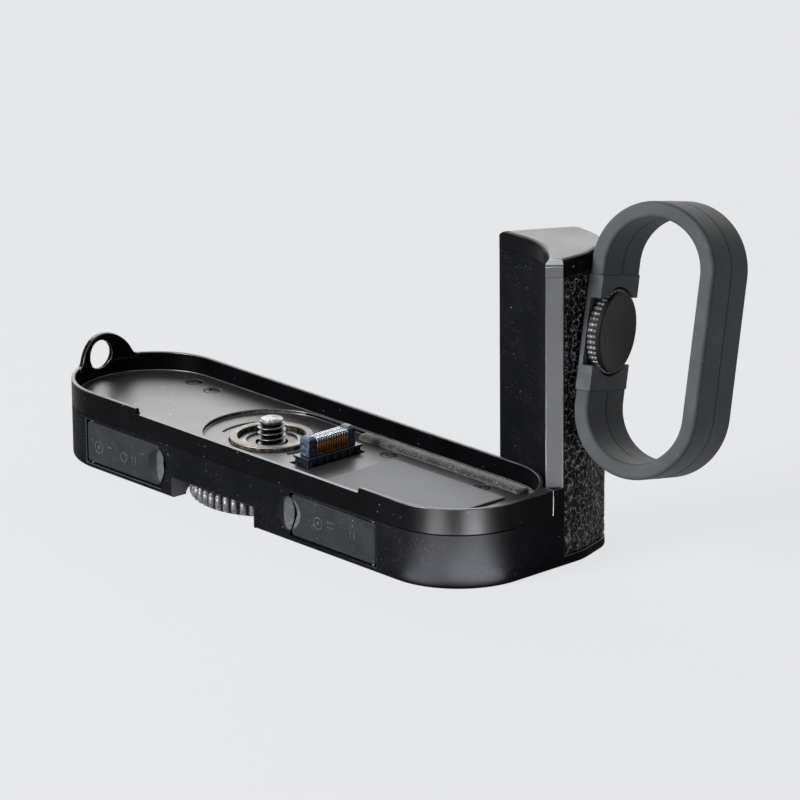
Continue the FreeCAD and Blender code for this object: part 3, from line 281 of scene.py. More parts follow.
# One finish for each material slot. The enamel's orange peel and the rubbers' spark-eroded grain are finer
# than the picture can show, so they are drawn as coarse as they need to be
finishes = {
    # satin enamel on cast magnesium: near black, a dull sheen and a faint orange-peel skin
    "housing_paint": skinned("satinBlackEnamel", {
        "colour": "#0e0f12", "light": "#141519", "roughness": 0.5, "grain": 0.35, "height": 0.004,
        "dust": (dict(sparseDust, amount=0.4, patch=9.0), dict(fineDust, amount=0.12, patch=6.0)),
        "shader": {"Specular_IOR_Level": 0.013}}),
    # the same enamel, smoother, on the tray's sheet wall: blacker, with a tighter sheen
    "tray_paint": skinned("glossBlackEnamel", {
        "colour": "#050506", "light": "#08090b", "roughness": 0.34, "grain": 0.5, "height": 0.001,
        "dust": (dict(sparseDust, amount=0.4, patch=9.0),), "shader": {"Specular_IOR_Level": 0.03}}),
    # pressed and coarsely grained leatherette: black, with painted highlights on its creases' flanks and
    # painted glints along a net of fine crease lines
    "leatherette": embossed("embossedLeatherette", {
        "colour": "#040405", "flank": "#333437", "glint": "#b5b6b9", "crease": "#9a9b9e",
        "roughness": 0.42, "polish": 0.3, "glintPatches": 1.1, "cell": 1.25, "line": 0.036, "wear": 0.8,
        "pore": 0.25, "poreDepth": 0.02, "cellDepth": 0.12, "shader": {"Specular_IOR_Level": 0.1}}),
    # moulded and painted cap: its walls are black and a little glossier than the enamel
    "cap_plastic": skinned("satinPaintedAbs", {
        "colour": "#070809", "light": "#0c0d0e", "roughness": 0.3, "grain": 0.3, "height": 0.002,
        "dust": (lint,), "shader": {"Specular_IOR_Level": 0.06}}),
    # flocked foam, full of dust: soft edged and brown grey
    "seal_foam": skinned("flockedFoam", {
        "colour": "#1d1a18", "light": "#3a3632", "roughness": 0.95, "spread": 0.02, "cloud": 1.6,
        "grain": 0.14, "height": 0.09,
        "dust": (dict(fineDust, spacing=0.34, size=0.3, patch=1.2, amount=0.95), lint),
        "shader": {"Specular_IOR_Level": 0.2, "Sheen_Weight": 0.4, "Sheen_Roughness": 0.5}}),
    # bare satin sheet: an even mid grey
    "plate_paint": skinned("satinSheetMetal", {
        "colour": "#747578", "light": "#7d7e81", "roughness": 0.55, "grain": 0.25, "height": 0.002,
        "dust": (dict(sparseDust, amount=0.6),), "shader": {"Specular_IOR_Level": 0.12}}),
    # moulded liquid-crystal polymer: mottled blue grey with a waxy sheen
    "connector_plastic": skinned("mouldedPolymer", {
        "colour": "#1c2733", "light": "#5f6f7c", "roughness": 0.42, "cloud": 0.8, "grain": 0.3,
        "height": 0.008, "dust": (dict(fineDust, amount=0.35, colour="#9fabb4"),),
        "shader": {"Specular_IOR_Level": 0.3}}),
    # thin gold over nickel: amber legs that darken in clouds
    "contact_gold": skinned("goldPlating", {
        "colour": "#9a6524", "light": "#5f3711", "roughness": 0.45, "cloud": 0.7, "grain": 0.3,
        "height": 0.004, "shader": {"Metallic": 0.7}}),
    # turned and dulled steel: a warm grey with fine rings
    "satin_steel": turnedMetal("turnedSteel", {
        "colour": "#8f8b85", "dark": "#7d7973", "roughness": 0.5, "groove": 0.1, "height": 0.006,
        "dust": (dict(fineDust, spacing=0.4, size=0.2, patch=2.0, amount=0.3, colour="#6c665e"),)}),
    # tempered spring steel: a darker, glossier grey
    "washer_steel": turnedMetal("springSteel", {
        "colour": "#77797c", "dark": "#5e6063", "roughness": 0.32, "groove": 0.12, "height": 0.006}),
    # ground steel pins and screws: bright and clean
    "pin_steel": turnedMetal("brightSteel", {
        "colour": "#c4c6c8", "dark": "#a5a7a9", "roughness": 0.22, "groove": 0.1, "height": 0.004}),
    # turned brass: a warm yellow with tool rings
    "bush_brass": turnedMetal("turnedBrass", {
        "colour": "#c9a35a", "dark": "#a37f3c", "roughness": 0.3, "groove": 0.1, "height": 0.004}),
    # glass laminate under solder mask: a deep, slightly glossy green
    "board_laminate": skinned("solderMaskedLaminate", {
        "colour": "#0f3a22", "light": "#174a2c", "roughness": 0.35, "grain": 0.4, "height": 0.006}),
    # drawn and plated shell: a clean light grey
    "socket_steel": turnedMetal("platedSteelShell", {
        "colour": "#a9abad", "dark": "#8e9092", "roughness": 0.3, "groove": 0.1, "height": 0.004}),
    # moulded nylon: an even matt black
    "socket_plastic": skinned("blackMouldedNylon", {
        "colour": "#121213", "light": "#19191a", "roughness": 0.5, "grain": 0.3, "height": 0.006}),
    # turned brass with a pale plating
    "socket_brass": turnedMetal("platedBrass", {
        "colour": "#c2ab78", "dark": "#9d8757", "roughness": 0.28, "groove": 0.1, "height": 0.004}),
    # sintered ceramic: chalky cream
    "antenna_ceramic": skinned("sinteredCeramic", {
        "colour": "#b8ac95", "light": "#c9bda6", "roughness": 0.6, "grain": 0.2, "height": 0.01}),
    # cast polyimide film: glossy amber
    "cable_film": skinned("polyimideFilm", {
        "colour": "#9a5a1c", "light": "#b3702a", "roughness": 0.3, "grain": 0.5, "height": 0.004}),
    # steel blackened in a hot bath: dark heads that shine where the driver has slipped
    "black_screw": skinned("blackenedSteel", {
        "colour": "#1b1b1d", "light": "#3a3b3e", "roughness": 0.3, "cloud": 1.0, "grain": 0.15,
        "height": 0.01, "dust": (dict(fineDust, amount=0.4),), "shader": {"Metallic": 0.9}}),
    # anodised aluminium: the wheel's black disc behind its worn ridges
    "wheel_metal": skinned("anodisedAluminium", {
        "colour": "#0d0d0e", "light": "#161617", "roughness": 0.45, "cloud": 2.0, "grain": 0.2,
        "height": 0.006, "dust": (dict(fineDust, amount=0.2),), "shader": {"Specular_IOR_Level": 0.2}}),
    # machined steel, lightly oiled: the screw's plain barrel and the knob's stem
    "screw_steel": turnedMetal("machinedSteel", {
        "colour": "#a9aaac", "dark": "#77787a", "roughness": 0.33, "groove": 0.1, "height": 0.003}),
    # thermoplastic rubber with a spark-eroded grain: a matt dark grey that holds dust
    "flap_rubber": skinned("mouldedTpeRubber", {
        "colour": "#222427", "light": "#2b2d30", "roughness": 0.6, "cloud": 5.0, "grain": 0.2,
        "height": 0.03, "dust": (dict(sparseDust, amount=0.6), dict(fineDust, amount=0.22, spacing=0.4)),
        "shader": {"Specular_IOR_Level": 0.12}}),
    # moulded silicone rubber: matt, bluish grey, with a pale bloom
    "loop_rubber": skinned("mouldedSilicone", {
        "colour": "#444648", "light": "#505254", "roughness": 0.62, "cloud": 7.0, "grain": 0.25,
        "height": 0.012, "dust": (dict(fineDust, amount=0.14, patch=9.0), dict(sparseDust, amount=0.4)),
        "shader": {"Specular_IOR_Level": 0.12}}),
    # glass-filled nylon: a harder, mottled grey beside the loop's rubber
    "insert_plastic": skinned("glassFilledNylon", {
        "colour": "#45474a", "light": "#55585b", "roughness": 0.6, "cloud": 3.0, "grain": 0.18,
        "height": 0.03, "dust": (dict(fineDust, amount=0.35, spacing=0.4),),
        "shader": {"Specular_IOR_Level": 0.12}}),
    # blasted and anodised aluminium: the knob's matt charcoal face
    "knob_metal": skinned("anodisedKnob", {
        "colour": "#1b1b1d", "light": "#212124", "roughness": 0.5, "grain": 0.12, "height": 0.003,
        "dust": (dict(sparseDust, amount=0.35),), "shader": {"Specular_IOR_Level": 0.1}}),
}

# Middle and half size of each notch's oval of painted light, across the cover and up it, in millimetres
notchLook = {
    "left": {"middle": (-16.5, 6.3), "half": (2.8, 4.1)},
    "right": {"middle": (26.7, 6.3), "half": (2.6, 4.1)},
    "colour": "#4a4c50", "light": "#606266", "round": "#26282b", "roughness": 0.6, "cloud": 1.2,
    "grain": 0.2, "height": 0.02, "dust": (dict(fineDust, amount=0.5, spacing=0.35, colour="#8f9092"),),
    "shader": {"Specular_IOR_Level": 0.12}}

# Worn or dusty places, and painted light, shade, highlights and reflections, on pieces whose slot has a
# plainer finish
extras = {
    # the tray's floor and the top of its rim: a lighter, far glossier copy of the tray's enamel for the flat
    # upward faces, its lighter colour painted light for the low light behind the tray
    "litTrayFloor": skinned("satinBlackFloor", {
        "colour": "#141415", "light": "#1a1a1b", "roughness": 0.4, "spread": 0.03, "cloud": 14.0,
        "grain": 0.5, "height": 0.001, "dust": (dict(sparseDust, amount=0.5), lint),
        "shader": {"Specular_IOR_Level": 0.85}}),
    # machined walls of the recess and the guide ring: brown with caked dust
    "dustyWall": skinned("dustyMachinedWall", {
        "colour": "#2a2622", "light": "#4f4a43", "roughness": 0.8, "cloud": 0.9, "grain": 0.15,
        "height": 0.06,
        "dust": (dict(fineDust, spacing=0.3, size=0.28, patch=0.9, amount=0.9, colour="#a39e94"),),
        "shader": {"Specular_IOR_Level": 0.1}}),
    # the tray's rounded edges: a painted highlight, a bright line lighter and more metallic than the enamel
    "trayEdgeHighlight": skinned("thinEnamelEdge", {
        "colour": "#3a3b3d", "light": "#5c5d60", "roughness": 0.34, "cloud": 3.0, "grain": 0.3,
        "height": 0.003, "shader": {"Metallic": 0.7}}),
    # the finger notches: a pale oval of painted light in each hollow, with a dark tone round it
    "leftNotch": paintedLightNotch("wornRubberLeftNotch", dict(notchLook, **notchLook["left"])),
    "rightNotch": paintedLightNotch("wornRubberRightNotch", dict(notchLook, **notchLook["right"])),
    "housingNotch": paintedLightNotch("wornEnamelNotch", dict(notchLook, round="#0b0c0f", **notchLook["right"])),
    # moulded marks, a little paler than the rubber; the covers' rounded edges take it too, as a painted
    # highlight
    "marksAndEdgeHighlight": skinned("palerMarks", {
        "colour": "#3c3e41", "light": "#505256", "roughness": 0.6, "cloud": 1.0, "grain": 0.2,
        "height": 0.02, "shader": {"Specular_IOR_Level": 0.12}}),
    # a painted highlight: the bright line along the rounded top of the column's flat strip
    "stripTopHighlight": skinned("polishedEdge", {
        "colour": "#a9aaac", "light": "#c4c5c7", "roughness": 0.32, "cloud": 2.5, "grain": 0.2,
        "height": 0.004, "shader": {"Metallic": 0.6}}),
    # the wheel's ridges, worn to grey metal
    "wornRidge": skinned("wornAluminium", {
        "colour": "#56575a", "light": "#8d8e91", "roughness": 0.4, "cloud": 1.8, "grain": 0.2,
        "height": 0.008, "dust": (dict(fineDust, amount=0.3),), "shader": {"Metallic": 0.45}}),
    # rolled steel thread: bright crests over roots blackened with painted shade
    "thread": threaded("rolledThread", {
        "colour": "#7b7c7e", "root": "#0c0c0d", "roughness": 0.34, "wear": 1.2, "wearDepth": 0.01}),
    # the housing's rounded edges: a painted highlight, dark but lighter and glossier than the enamel
    "enamelEdge": skinned("enamelEdge", {
        "colour": "#2a2b2e", "light": "#3c3d40", "roughness": 0.35, "cloud": 3.0, "grain": 0.3,
        "height": 0.003, "shader": {"Specular_IOR_Level": 0.5}}),
    # the column's flat strip: a painted reflection, an even dull grey
    "stripReflectionGrey": skinned("rubbedEnamel", {
        "colour": "#6a6b6f", "light": "#717276", "roughness": 0.55, "grain": 0.3, "height": 0.003,
        "dust": (dict(sparseDust, amount=0.5),), "shader": {"Specular_IOR_Level": 0.02}}),
    # the cap's top: a lighter, glossier copy of the cap's black for its flat upward faces, its lighter colour
    # painted light for the light behind
    "litCapTop": skinned("satinCapTop", {
        "colour": "#17181a", "light": "#1d1e20", "roughness": 0.42, "grain": 0.3, "height": 0.002,
        "dust": (lint,), "shader": {"Specular_IOR_Level": 0.5}}),
    # the knob's cut knurling: bare metal, its pale tone partly a painted highlight
    "brightKnurl": skinned("brightKnurling", {
        "colour": "#4a4b4d", "light": "#9a9b9d", "roughness": 0.34, "cloud": 0.7, "grain": 0.2,
        "height": 0.004, "shader": {"Metallic": 0.5}}),
    # the connector's foot, a navy polymer darker than its body
    "connectorBase": skinned("navyMouldedPolymer", {
        "colour": "#070b14", "light": "#141c2b", "roughness": 0.35, "cloud": 1.4, "grain": 0.3,
        "height": 0.006, "dust": (dict(fineDust, amount=0.35, colour="#8f9aa6"),)}),
    # tinned contact tips, the brightest metal in the tray
    "pinTips": skinned("tinPlating", {
        "colour": "#9fa6ad", "light": "#e4e7ea", "roughness": 0.25, "cloud": 0.5, "grain": 0.2,
        "height": 0.004, "shader": {"Metallic": 0.6}}),
}
print("materials made:", len(finishes) + len(extras))

slotOf = {part["node"]: part["material_slot"] for part in frame["record"]["subparts"]}


def dressPiece(piece, slotName):
    piece.data.materials.clear()
    piece.data.materials.append(finishes[slotName])


def newPiece(name, mesh, nodeName, replaced=True):
    # a finished mesh as a piece that rides with a CAD node and may stand for it
    piece = bpy.data.objects.new(name, mesh)
    bpy.context.scene.collection.objects.link(piece)
    for face in mesh.polygons:
        face.use_smooth = True
    if not mesh.materials:
        mesh.materials.append(finishes[slotOf[nodeName]])
    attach(piece, body_of(nodes[nodeName])[0])
    if replaced:
        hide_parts(nodeName)
    return piece


def mergedMesh(name):
    # a merged copy of a CAD node's mesh with its flat faces whole again
    mesh = nodes[name].data.copy()
    work = bmesh.new()
    work.from_mesh(mesh)
    bmesh.ops.remove_doubles(work, verts=work.verts, dist=0.0005 * mm)
    bmesh.ops.dissolve_limit(work, angle_limit=math.radians(0.6), verts=work.verts, edges=work.edges)
    work.to_mesh(mesh)
    work.free()
    mesh.name = name + "Mesh"
    mesh.materials.clear()
    return mesh


def hardenSharp(piece, degrees):
    # smooth shading breaks where faces meet at more than this angle
    piece.data.set_sharp_from_angle(angle=math.radians(degrees))


smallestFace = 0.08  # square millimetres; a rounded edge would fold a smaller face over


def roundEdges(piece, width, angle=28.0, segments=2, edgeSlot=-1, chosen=lambda middle: True):
    # rounds the sharp edges between faces that can take it, where the piece's own rule lets it
    work = bmesh.new()
    work.from_mesh(piece.data)
    layers = work.edges.layers.float
    weight = layers.get("bevel_weight_edge") or layers.new("bevel_weight_edge")
    for edge in work.edges:
        if len(edge.link_faces) != 2 or edge.calc_face_angle(0) < math.radians(angle):
            continue
        smallest = min(face.calc_area() for face in edge.link_faces)
        middle = (edge.verts[0].co + edge.verts[1].co) / 2 / mm
        if smallest > smallestFace * mm * mm and chosen(middle):
            edge[weight] = 1.0
    work.to_mesh(piece.data)
    work.free()
    hardenSharp(piece, angle)
    rounding = piece.modifiers.new("EdgeRounding", "BEVEL")
    rounding.width = width * mm
    rounding.segments = segments
    rounding.limit_method = "WEIGHT"
    rounding.use_clamp_overlap = False
    rounding.material = edgeSlot
    flat = piece.modifiers.new("FlatFaceNormals", "WEIGHTED_NORMAL")
    flat.keep_sharp = True
    flat.weight = 80


def cleanCopy(name, edge=0.12, angle=28.0):
    piece = newPiece("dressed_" + name, mergedMesh(name), name)
    if edge:
        roundEdges(piece, edge, angle)
    return piece


def pushInward(mesh, cuts, profile, keep=lambda point: True):
    # cuts the walls at these levels and draws each cut in by the profile: a groove or a rounded foot
    work = bmesh.new()
    work.from_mesh(mesh)
    for level in cuts:
        geometry = work.verts[:] + work.edges[:] + work.faces[:]
        bmesh.ops.bisect_plane(work, geom=geometry, dist=1e-7,
                               plane_co=(0, 0, level * mm), plane_no=(0, 0, 1))
    moves = {}
    for vert in work.verts:
        depth = profile(vert.co.z / mm)
        if depth <= 0 or not keep(vert.co / mm):
            continue
        out = Vector((0, 0, 0))
        for face in vert.link_faces:
            if abs(face.normal.z) < 0.3:
                out += Vector((face.normal.x, face.normal.y, 0)) * face.calc_area()
        if out.length > 0:
            moves[vert] = out.normalized() * (-depth * mm)
    for vert, shift in moves.items():
        vert.co += shift
    work.normal_update()
    work.to_mesh(mesh)
    work.free()


def gridMesh(name, columns, rows, point, closed=False):
    # a skin of quads through the points of a grid
    verts = [point(i, j) for j in range(rows) for i in range(columns)]
    faces = []
    for j in range(rows - 1):
        for i in range(columns if closed else columns - 1):
            n = (i + 1) % columns
            faces.append((j * columns + i, j * columns + n, (j + 1) * columns + n, (j + 1) * columns + i))
    mesh = bpy.data.meshes.new(name)
    mesh.from_pydata([tuple(c * mm for c in v) for v in verts], [], faces)
    return mesh


def joinMeshes(name, meshes):
    work = bmesh.new()
    for mesh in meshes:
        work.from_mesh(mesh)
    joined = bpy.data.meshes.new(name)
    work.to_mesh(joined)
    work.free()
    return joined


def closeAndTurnOut(mesh):
    work = bmesh.new()
    work.from_mesh(mesh)
    bmesh.ops.remove_doubles(work, verts=work.verts, dist=0.002 * mm)
    bmesh.ops.recalc_face_normals(work, faces=work.faces)
    work.to_mesh(mesh)
    work.free()


# Geometry Nodes: one tree that sets a small shape round a ring, and one that sets it on listed points


def newTree(name, inputs):
    tree = bpy.data.node_groups.new(name, "GeometryNodeTree")
    sockets = {}
    for label, kind, value in inputs:
        socket = tree.interface.new_socket(name=label, in_out="INPUT", socket_type=kind)
        if value is not None:
            socket.default_value = value
        sockets[label] = socket.identifier
    tree.interface.new_socket(name="Geometry", in_out="OUTPUT", socket_type="NodeSocketGeometry")
    return tree, sockets, addNode(tree, "NodeGroupInput"), addNode(tree, "NodeGroupOutput")


def runTree(tree, sockets, values, start=None):
    # evaluates the tree on an empty or given mesh and hands back the plain mesh
    holder = bpy.data.objects.new(tree.name + "Holder", start or bpy.data.meshes.new(tree.name + "Start"))
    bpy.context.scene.collection.objects.link(holder)
    modifier = holder.modifiers.new(tree.name, "NODES")
    modifier.node_group = tree
    for label, value in values.items():
        modifier[sockets[label]] = value
    graph = bpy.context.evaluated_depsgraph_get()
    graph.update()
    mesh = bpy.data.meshes.new_from_object(holder.evaluated_get(graph))
    holder.modifiers.remove(modifier)
    bpy.data.objects.remove(holder)
    return mesh


def ridgeRing(name, values, material):
    # round-ended bars on a circle, standing along its axis
    tree, sockets, given, result = newTree(name, (
        ("Count", "NodeSocketInt", 12), ("Ring Radius", "NodeSocketFloat", 0.01),
        ("Bar Radius", "NodeSocketFloat", 0.001), ("Bar Length", "NodeSocketFloat", 0.003),
        ("Material", "NodeSocketMaterial", None)))
    ring = addNode(tree, "GeometryNodeMeshCircle", None,
                   {"Vertices": given.outputs["Count"], "Radius": given.outputs["Ring Radius"]})
    bar = addNode(tree, "GeometryNodeMeshCylinder", {"Vertices": 14, "Side Segments": 1},
                  {"Radius": given.outputs["Bar Radius"], "Depth": given.outputs["Bar Length"]})
    ball = addNode(tree, "GeometryNodeMeshUVSphere", {"Segments": 14, "Rings": 8},
                   {"Radius": given.outputs["Bar Radius"]})
    ends = []
    for share in (0.5, -0.5):
        level = addNode(tree, "ShaderNodeMath", {"operation": "MULTIPLY", 1: share},
                        {0: given.outputs["Bar Length"]})
        shift = addNode(tree, "ShaderNodeCombineXYZ", None, {"Z": level.outputs[0]})
        ends.append(addNode(tree, "GeometryNodeTransform", None,
                            {"Geometry": ball.outputs["Mesh"], "Translation": shift.outputs[0]}))
    shape = addNode(tree, "GeometryNodeJoinGeometry")
    for source in (bar.outputs["Mesh"], ends[0].outputs["Geometry"], ends[1].outputs["Geometry"]):
        tree.links.new(source, shape.inputs["Geometry"])
    copies = addNode(tree, "GeometryNodeInstanceOnPoints", None,
                     {"Points": ring.outputs["Mesh"], "Instance": shape.outputs["Geometry"]})
    real = addNode(tree, "GeometryNodeRealizeInstances", None, {"Geometry": copies.outputs["Instances"]})
    painted = addNode(tree, "GeometryNodeSetMaterial", None,
                      {"Geometry": real.outputs["Geometry"], "Material": given.outputs["Material"]})
    tree.links.new(painted.outputs["Geometry"], result.inputs["Geometry"])
    return runTree(tree, sockets, dict(values, Material=material))


def setOnPoints(name, points, shape, material):
    # one small shape set on each of the given points
    tree, sockets, given, result = newTree(name, (
        ("Geometry", "NodeSocketGeometry", None), ("Shape", "NodeSocketObject", None),
        ("Material", "NodeSocketMaterial", None)))
    source = addNode(tree, "GeometryNodeObjectInfo", None, {"Object": given.outputs["Shape"]})
    dots = addNode(tree, "GeometryNodeMeshToPoints", None, {"Mesh": given.outputs["Geometry"]})
    copies = addNode(tree, "GeometryNodeInstanceOnPoints", None,
                     {"Points": dots.outputs["Points"], "Instance": source.outputs["Geometry"]})
    real = addNode(tree, "GeometryNodeRealizeInstances", None, {"Geometry": copies.outputs["Instances"]})
    painted = addNode(tree, "GeometryNodeSetMaterial", None,
                      {"Geometry": real.outputs["Geometry"], "Material": given.outputs["Material"]})
    tree.links.new(painted.outputs["Geometry"], result.inputs["Geometry"])
    start = bpy.data.meshes.new(name + "Points")
    start.from_pydata([tuple(c * mm for c in p) for p in points], [], [])
    pattern = bpy.data.objects.new(name + "Shape", shape)
    bpy.context.scene.collection.objects.link(pattern)
    mesh = runTree(tree, sockets, {"Shape": pattern, "Material": material}, start)
    bpy.data.objects.remove(pattern)
    return mesh


for name, thing in nodes.items():
    dressPiece(thing, slotOf[name])


# Tray, housing and cap: painted shells with rounded edges and a fine seam between them

housingLook = {
    "footRound": 0.7, "footCuts": (0.06, 0.2, 0.42, 0.7, 1.0), "edge": 0.14,
    "wellRadius": 19.6, "wellTop": 5.0,  # the thumbwheel's well keeps its sharp foot
    "seam": 12.16, "seamHalf": 0.16, "seamDepth": 0.3,  # between housing and tray, stopping at the column
    "columnX": 53.0, "columnY": 9.0, "endCentre": (61.49, -0.5), "endClear": 18.4,
    "wallY": 16.6, "middleX": 10.3, "halfLength": 60.0,
    "strip": (0.765, -0.644), "stripX": 77.0, "stripLow": 18.0,  # the column's flat strip and where it faces
    "mouthLeft": -12.6, "mouthTop": 5.0,  # the wheel mouth's left cheek, painted the strip's even grey
    "notches": (-16.9, 27.4), "notchLevel": 6.3, "notchReach": 4.4, "notchClear": 4.8,
    "roundLow": 0.9, "roundHigh": 64.5, "seamClear": 0.6}


def footProfile(z):
    # how far a rounded lower edge is drawn in at each height
    radius = housingLook["footRound"]
    if z >= radius - 1e-4:
        return 0.0
    return radius - math.sqrt(max(radius * radius - (radius - z) ** 2, 0))


def seamProfile(z):
    return housingLook["seamDepth"] if abs(z - housingLook["seam"]) < 0.02 else 0.0


def outsideWell(point):
    return math.hypot(point.x, point.y) > housingLook["wellRadius"] and point.z < housingLook["wellTop"]


def clearOfColumn(point):
    # the seam runs round the outer wall and stops where the column rises
    look = housingLook
    centre = look["endCentre"]
    column = (point.x > look["columnX"] and point.y > look["columnY"]
              and math.hypot(point.x - centre[0], point.y - centre[1]) > look["endClear"])
    wall = abs(point.y) > look["wallY"] or abs(point.x - look["middleX"]) > look["halfLength"]
    return wall and not column


def paintFaces(mesh, slotIndex, chosen):
    for face in mesh.polygons:
        if chosen(face.normal, face.center / mm):
            face.material_index = slotIndex


def isStrip(normal, point):
    along = Vector(housingLook["strip"] + (0,)).normalized()
    return normal.dot(along) > 0.995 and point.x > housingLook["stripX"] and point.z > housingLook["stripLow"]


def isNotch(normal, point, middle, reach):
    # the hollow faces of a finger notch, which turn away from the plain front wall
    return -0.999 < normal.y < -0.3 and abs(normal.z) < 0.9 and abs(point.x - middle) < reach


def makeHousing(look):
    mesh = mergedMesh("base_housing")
    pushInward(mesh, [look["footRound"] * share for share in look["footCuts"]], footProfile, outsideWell)
    pushInward(mesh, [look["seam"] - look["seamHalf"]], seamProfile, clearOfColumn)
    piece = newPiece("dressed_housing", mesh, "base_housing")
    for label in ("stripReflectionGrey", "enamelEdge", "housingNotch"):
        mesh.materials.append(extras[label])
    # painted reflection: the column's flat strip takes an even grey, and the wheel mouth's left cheek the
    # same
    paintFaces(mesh, 1, isStrip)
    paintFaces(mesh, 1, lambda n, p: n.x > 0.9 and abs(p.x - look["mouthLeft"]) < 0.3
               and p.z < look["mouthTop"])
    # painted light: the hollow of the right notch in the housing takes its pale oval
    paintFaces(mesh, 3, lambda n, p: isNotch(n, p, look["notches"][1], look["notchReach"])
               and p.y < -16.5 and 1.0 < p.z < 11.5)

    def plainEdge(p):
        for x in look["notches"]:
            if math.hypot(p.x - x, p.z - look["notchLevel"]) <= look["notchClear"]:
                return False
        return look["roundLow"] < p.z < look["roundHigh"] and abs(p.z - look["seam"]) > look["seamClear"]

    # painted highlight: the rounded edges take the lighter edge material
    roundEdges(piece, look["edge"], edgeSlot=2, chosen=plainEdge)


trayLook = {"edge": 0.18, "seamClear": 0.3, "recess": ((-22.0, 76.0), (-15.8, 15.8), (12.5, 13.7))}


def makeTray(look):
    mesh = mergedMesh("top_tray")
    pushInward(mesh, [housingLook["seam"] + housingLook["seamHalf"]], seamProfile, clearOfColumn)
    piece = newPiece("dressed_tray", mesh, "top_tray")
    for label in ("litTrayFloor", "dustyWall", "trayEdgeHighlight"):
        mesh.materials.append(extras[label])
    # painted light: the upward faces take the lighter, glossier copy of the enamel
    paintFaces(mesh, 1, lambda n, p: n.z > 0.9)
    paintFaces(mesh, 2, lambda n, p: abs(n.z) < 0.5
               and all(low < value < high for value, (low, high) in zip(p, look["recess"])))
    # painted highlight: the rounded edges take the bright edge material
    roundEdges(piece, look["edge"], edgeSlot=3,
               chosen=lambda p: abs(p.z - housingLook["seam"]) > look["seamClear"])


capLook = {"groove": 67.15, "grooveWidth": 0.3, "grooveDepth": 0.12, "grooveX": 76.9, "grooveY": 13.5,
           "shoulderX": 76.5, "edge": 0.12}


def capGroove(z):
    return capLook["grooveDepth"] if abs(z - capLook["groove"]) < 0.02 else 0.0


def makeCap(look):
    mesh = mergedMesh("column_cap")
    half = look["grooveWidth"] / 2
    pushInward(mesh, [look["groove"] - half, look["groove"], look["groove"] + half], capGroove,
               lambda point: point.x > look["grooveX"] and point.y < look["grooveY"])
    piece = newPiece("dressed_cap", mesh, "column_cap")
    for label in ("stripReflectionGrey", "stripTopHighlight", "litCapTop"):
        mesh.materials.append(extras[label])
    along = Vector(housingLook["strip"] + (0,)).normalized()
    # painted light: the cap's upward faces take the lighter, glossier copy of its black
    paintFaces(mesh, 3, lambda n, p: n.z > 0.8)
    # painted reflection: the cap's share of the column's flat strip
    paintFaces(mesh, 1, isStrip)
    # painted highlight: the rounding along the top of the column's flat strip
    paintFaces(mesh, 2, lambda n, p: 0.15 < n.z < 0.97 and p.x > look["shoulderX"]
               and Vector((n.x, n.y, 0)).normalized().dot(along) > 0.97)
    roundEdges(piece, look["edge"])


makeHousing(housingLook)
makeTray(trayLook)
makeCap(capLook)
print("shells dressed")


# Leatherette wrapped round the column, its coarse creases pressed into the sheet

leatherLook = {
    # the column's outline: start, corners with their radii, end
    "start": (79.65, 13.62), "end": (55.46, 20.68),
    "corners": ((79.65, 19.35, 14.0), (76.46, 29.2, 6.0), (70.5, 32.3, 6.0), (63.0, 33.5, 3.0)),
    "low": 2.35, "high": 64.35, "step": 0.245,
    # the grain: cells, the creases between them, and how strongly the painted highlight on a crease's flank
    # shows
    "cell": 1.3, "creaseDepth": 0.34, "creaseWidth": 0.36, "fine": 0.03, "flankHighlightGain": 0.9,
    "offset": 11.3, "seed": 7,
    # the sheet's edge dips towards its bed, and its outermost row closes the gap
    "skin": 0.02, "edgeDrop": 0.3, "edgeRun": 0.6, "borderDrop": 0.72, "deepest": 0.74,
    "holeCentre": (77.538, 25.871, 50.0), "holeRadius": 5.5,
}


def roundedPath(points, step):
    # points are x, y and a corner's radius; gives evenly spaced points with their outward normals
    corners = [Vector(p[:2]) for p in points]
    radii = [p[2] if len(p) > 2 else 0.0 for p in points]
    line = [corners[0]]
    for k in range(1, len(corners) - 1):
        into = (corners[k - 1] - corners[k]).normalized()
        out = (corners[k + 1] - corners[k]).normalized()
        half = into.angle(out) / 2
        reach = radii[k] / math.tan(half)
        centre = corners[k] + (into + out).normalized() * (radii[k] / math.sin(half))
        first, last = corners[k] + into * reach - centre, corners[k] + out * reach - centre
        sweep = first.angle_signed(last)
        for share in range(13):
            turn = Matrix.Rotation(-sweep * share / 12, 2)
            line.append(centre + turn @ first)
    line.append(corners[-1])
    lengths = [0.0]
    for k in range(1, len(line)):
        lengths.append(lengths[-1] + (line[k] - line[k - 1]).length)
    count = max(2, round(lengths[-1] / step))
    spots, k = [], 0
    for n in range(count + 1):
        along = lengths[-1] * n / count
        while k < len(lengths) - 2 and lengths[k + 1] < along:
            k += 1
        share = (along - lengths[k]) / max(lengths[k + 1] - lengths[k], 1e-9)
        here = line[k].lerp(line[k + 1], share)
        way = (line[k + 1] - line[k]).normalized()
        spots.append((here, Vector((way.y, -way.x)), along))
    return spots, lengths[-1]


def creaseDepth(u, v, look):
    # how deep the sheet lies under its outer face, and how much of that is crease
    where = Vector((u / look["cell"], v / look["cell"] * 0.75, look["offset"]))
    warp = noise.noise_vector(where * 0.8) * 0.5 + noise.noise_vector(where * 2.3) * 0.25
    distances = noise.voronoi(where + warp)[0]
    gap = (distances[1] - distances[0]) * look["cell"]
    crease = max(0.0, 1.0 - gap / look["creaseWidth"])
    crease = crease * crease * (3 - 2 * crease) * min(1.0, 0.55 + noise.noise(where * 0.7 + warp) * 1.2)
    crease = max(0.0, crease)
    swell = min(1.0, distances[0] * 1.1) * 0.2
    fine = (noise.noise(where * 5.0) + 1) / 2 * look["fine"]
    return look["creaseDepth"] * min(1.0, crease * 0.8 + swell) + fine, crease


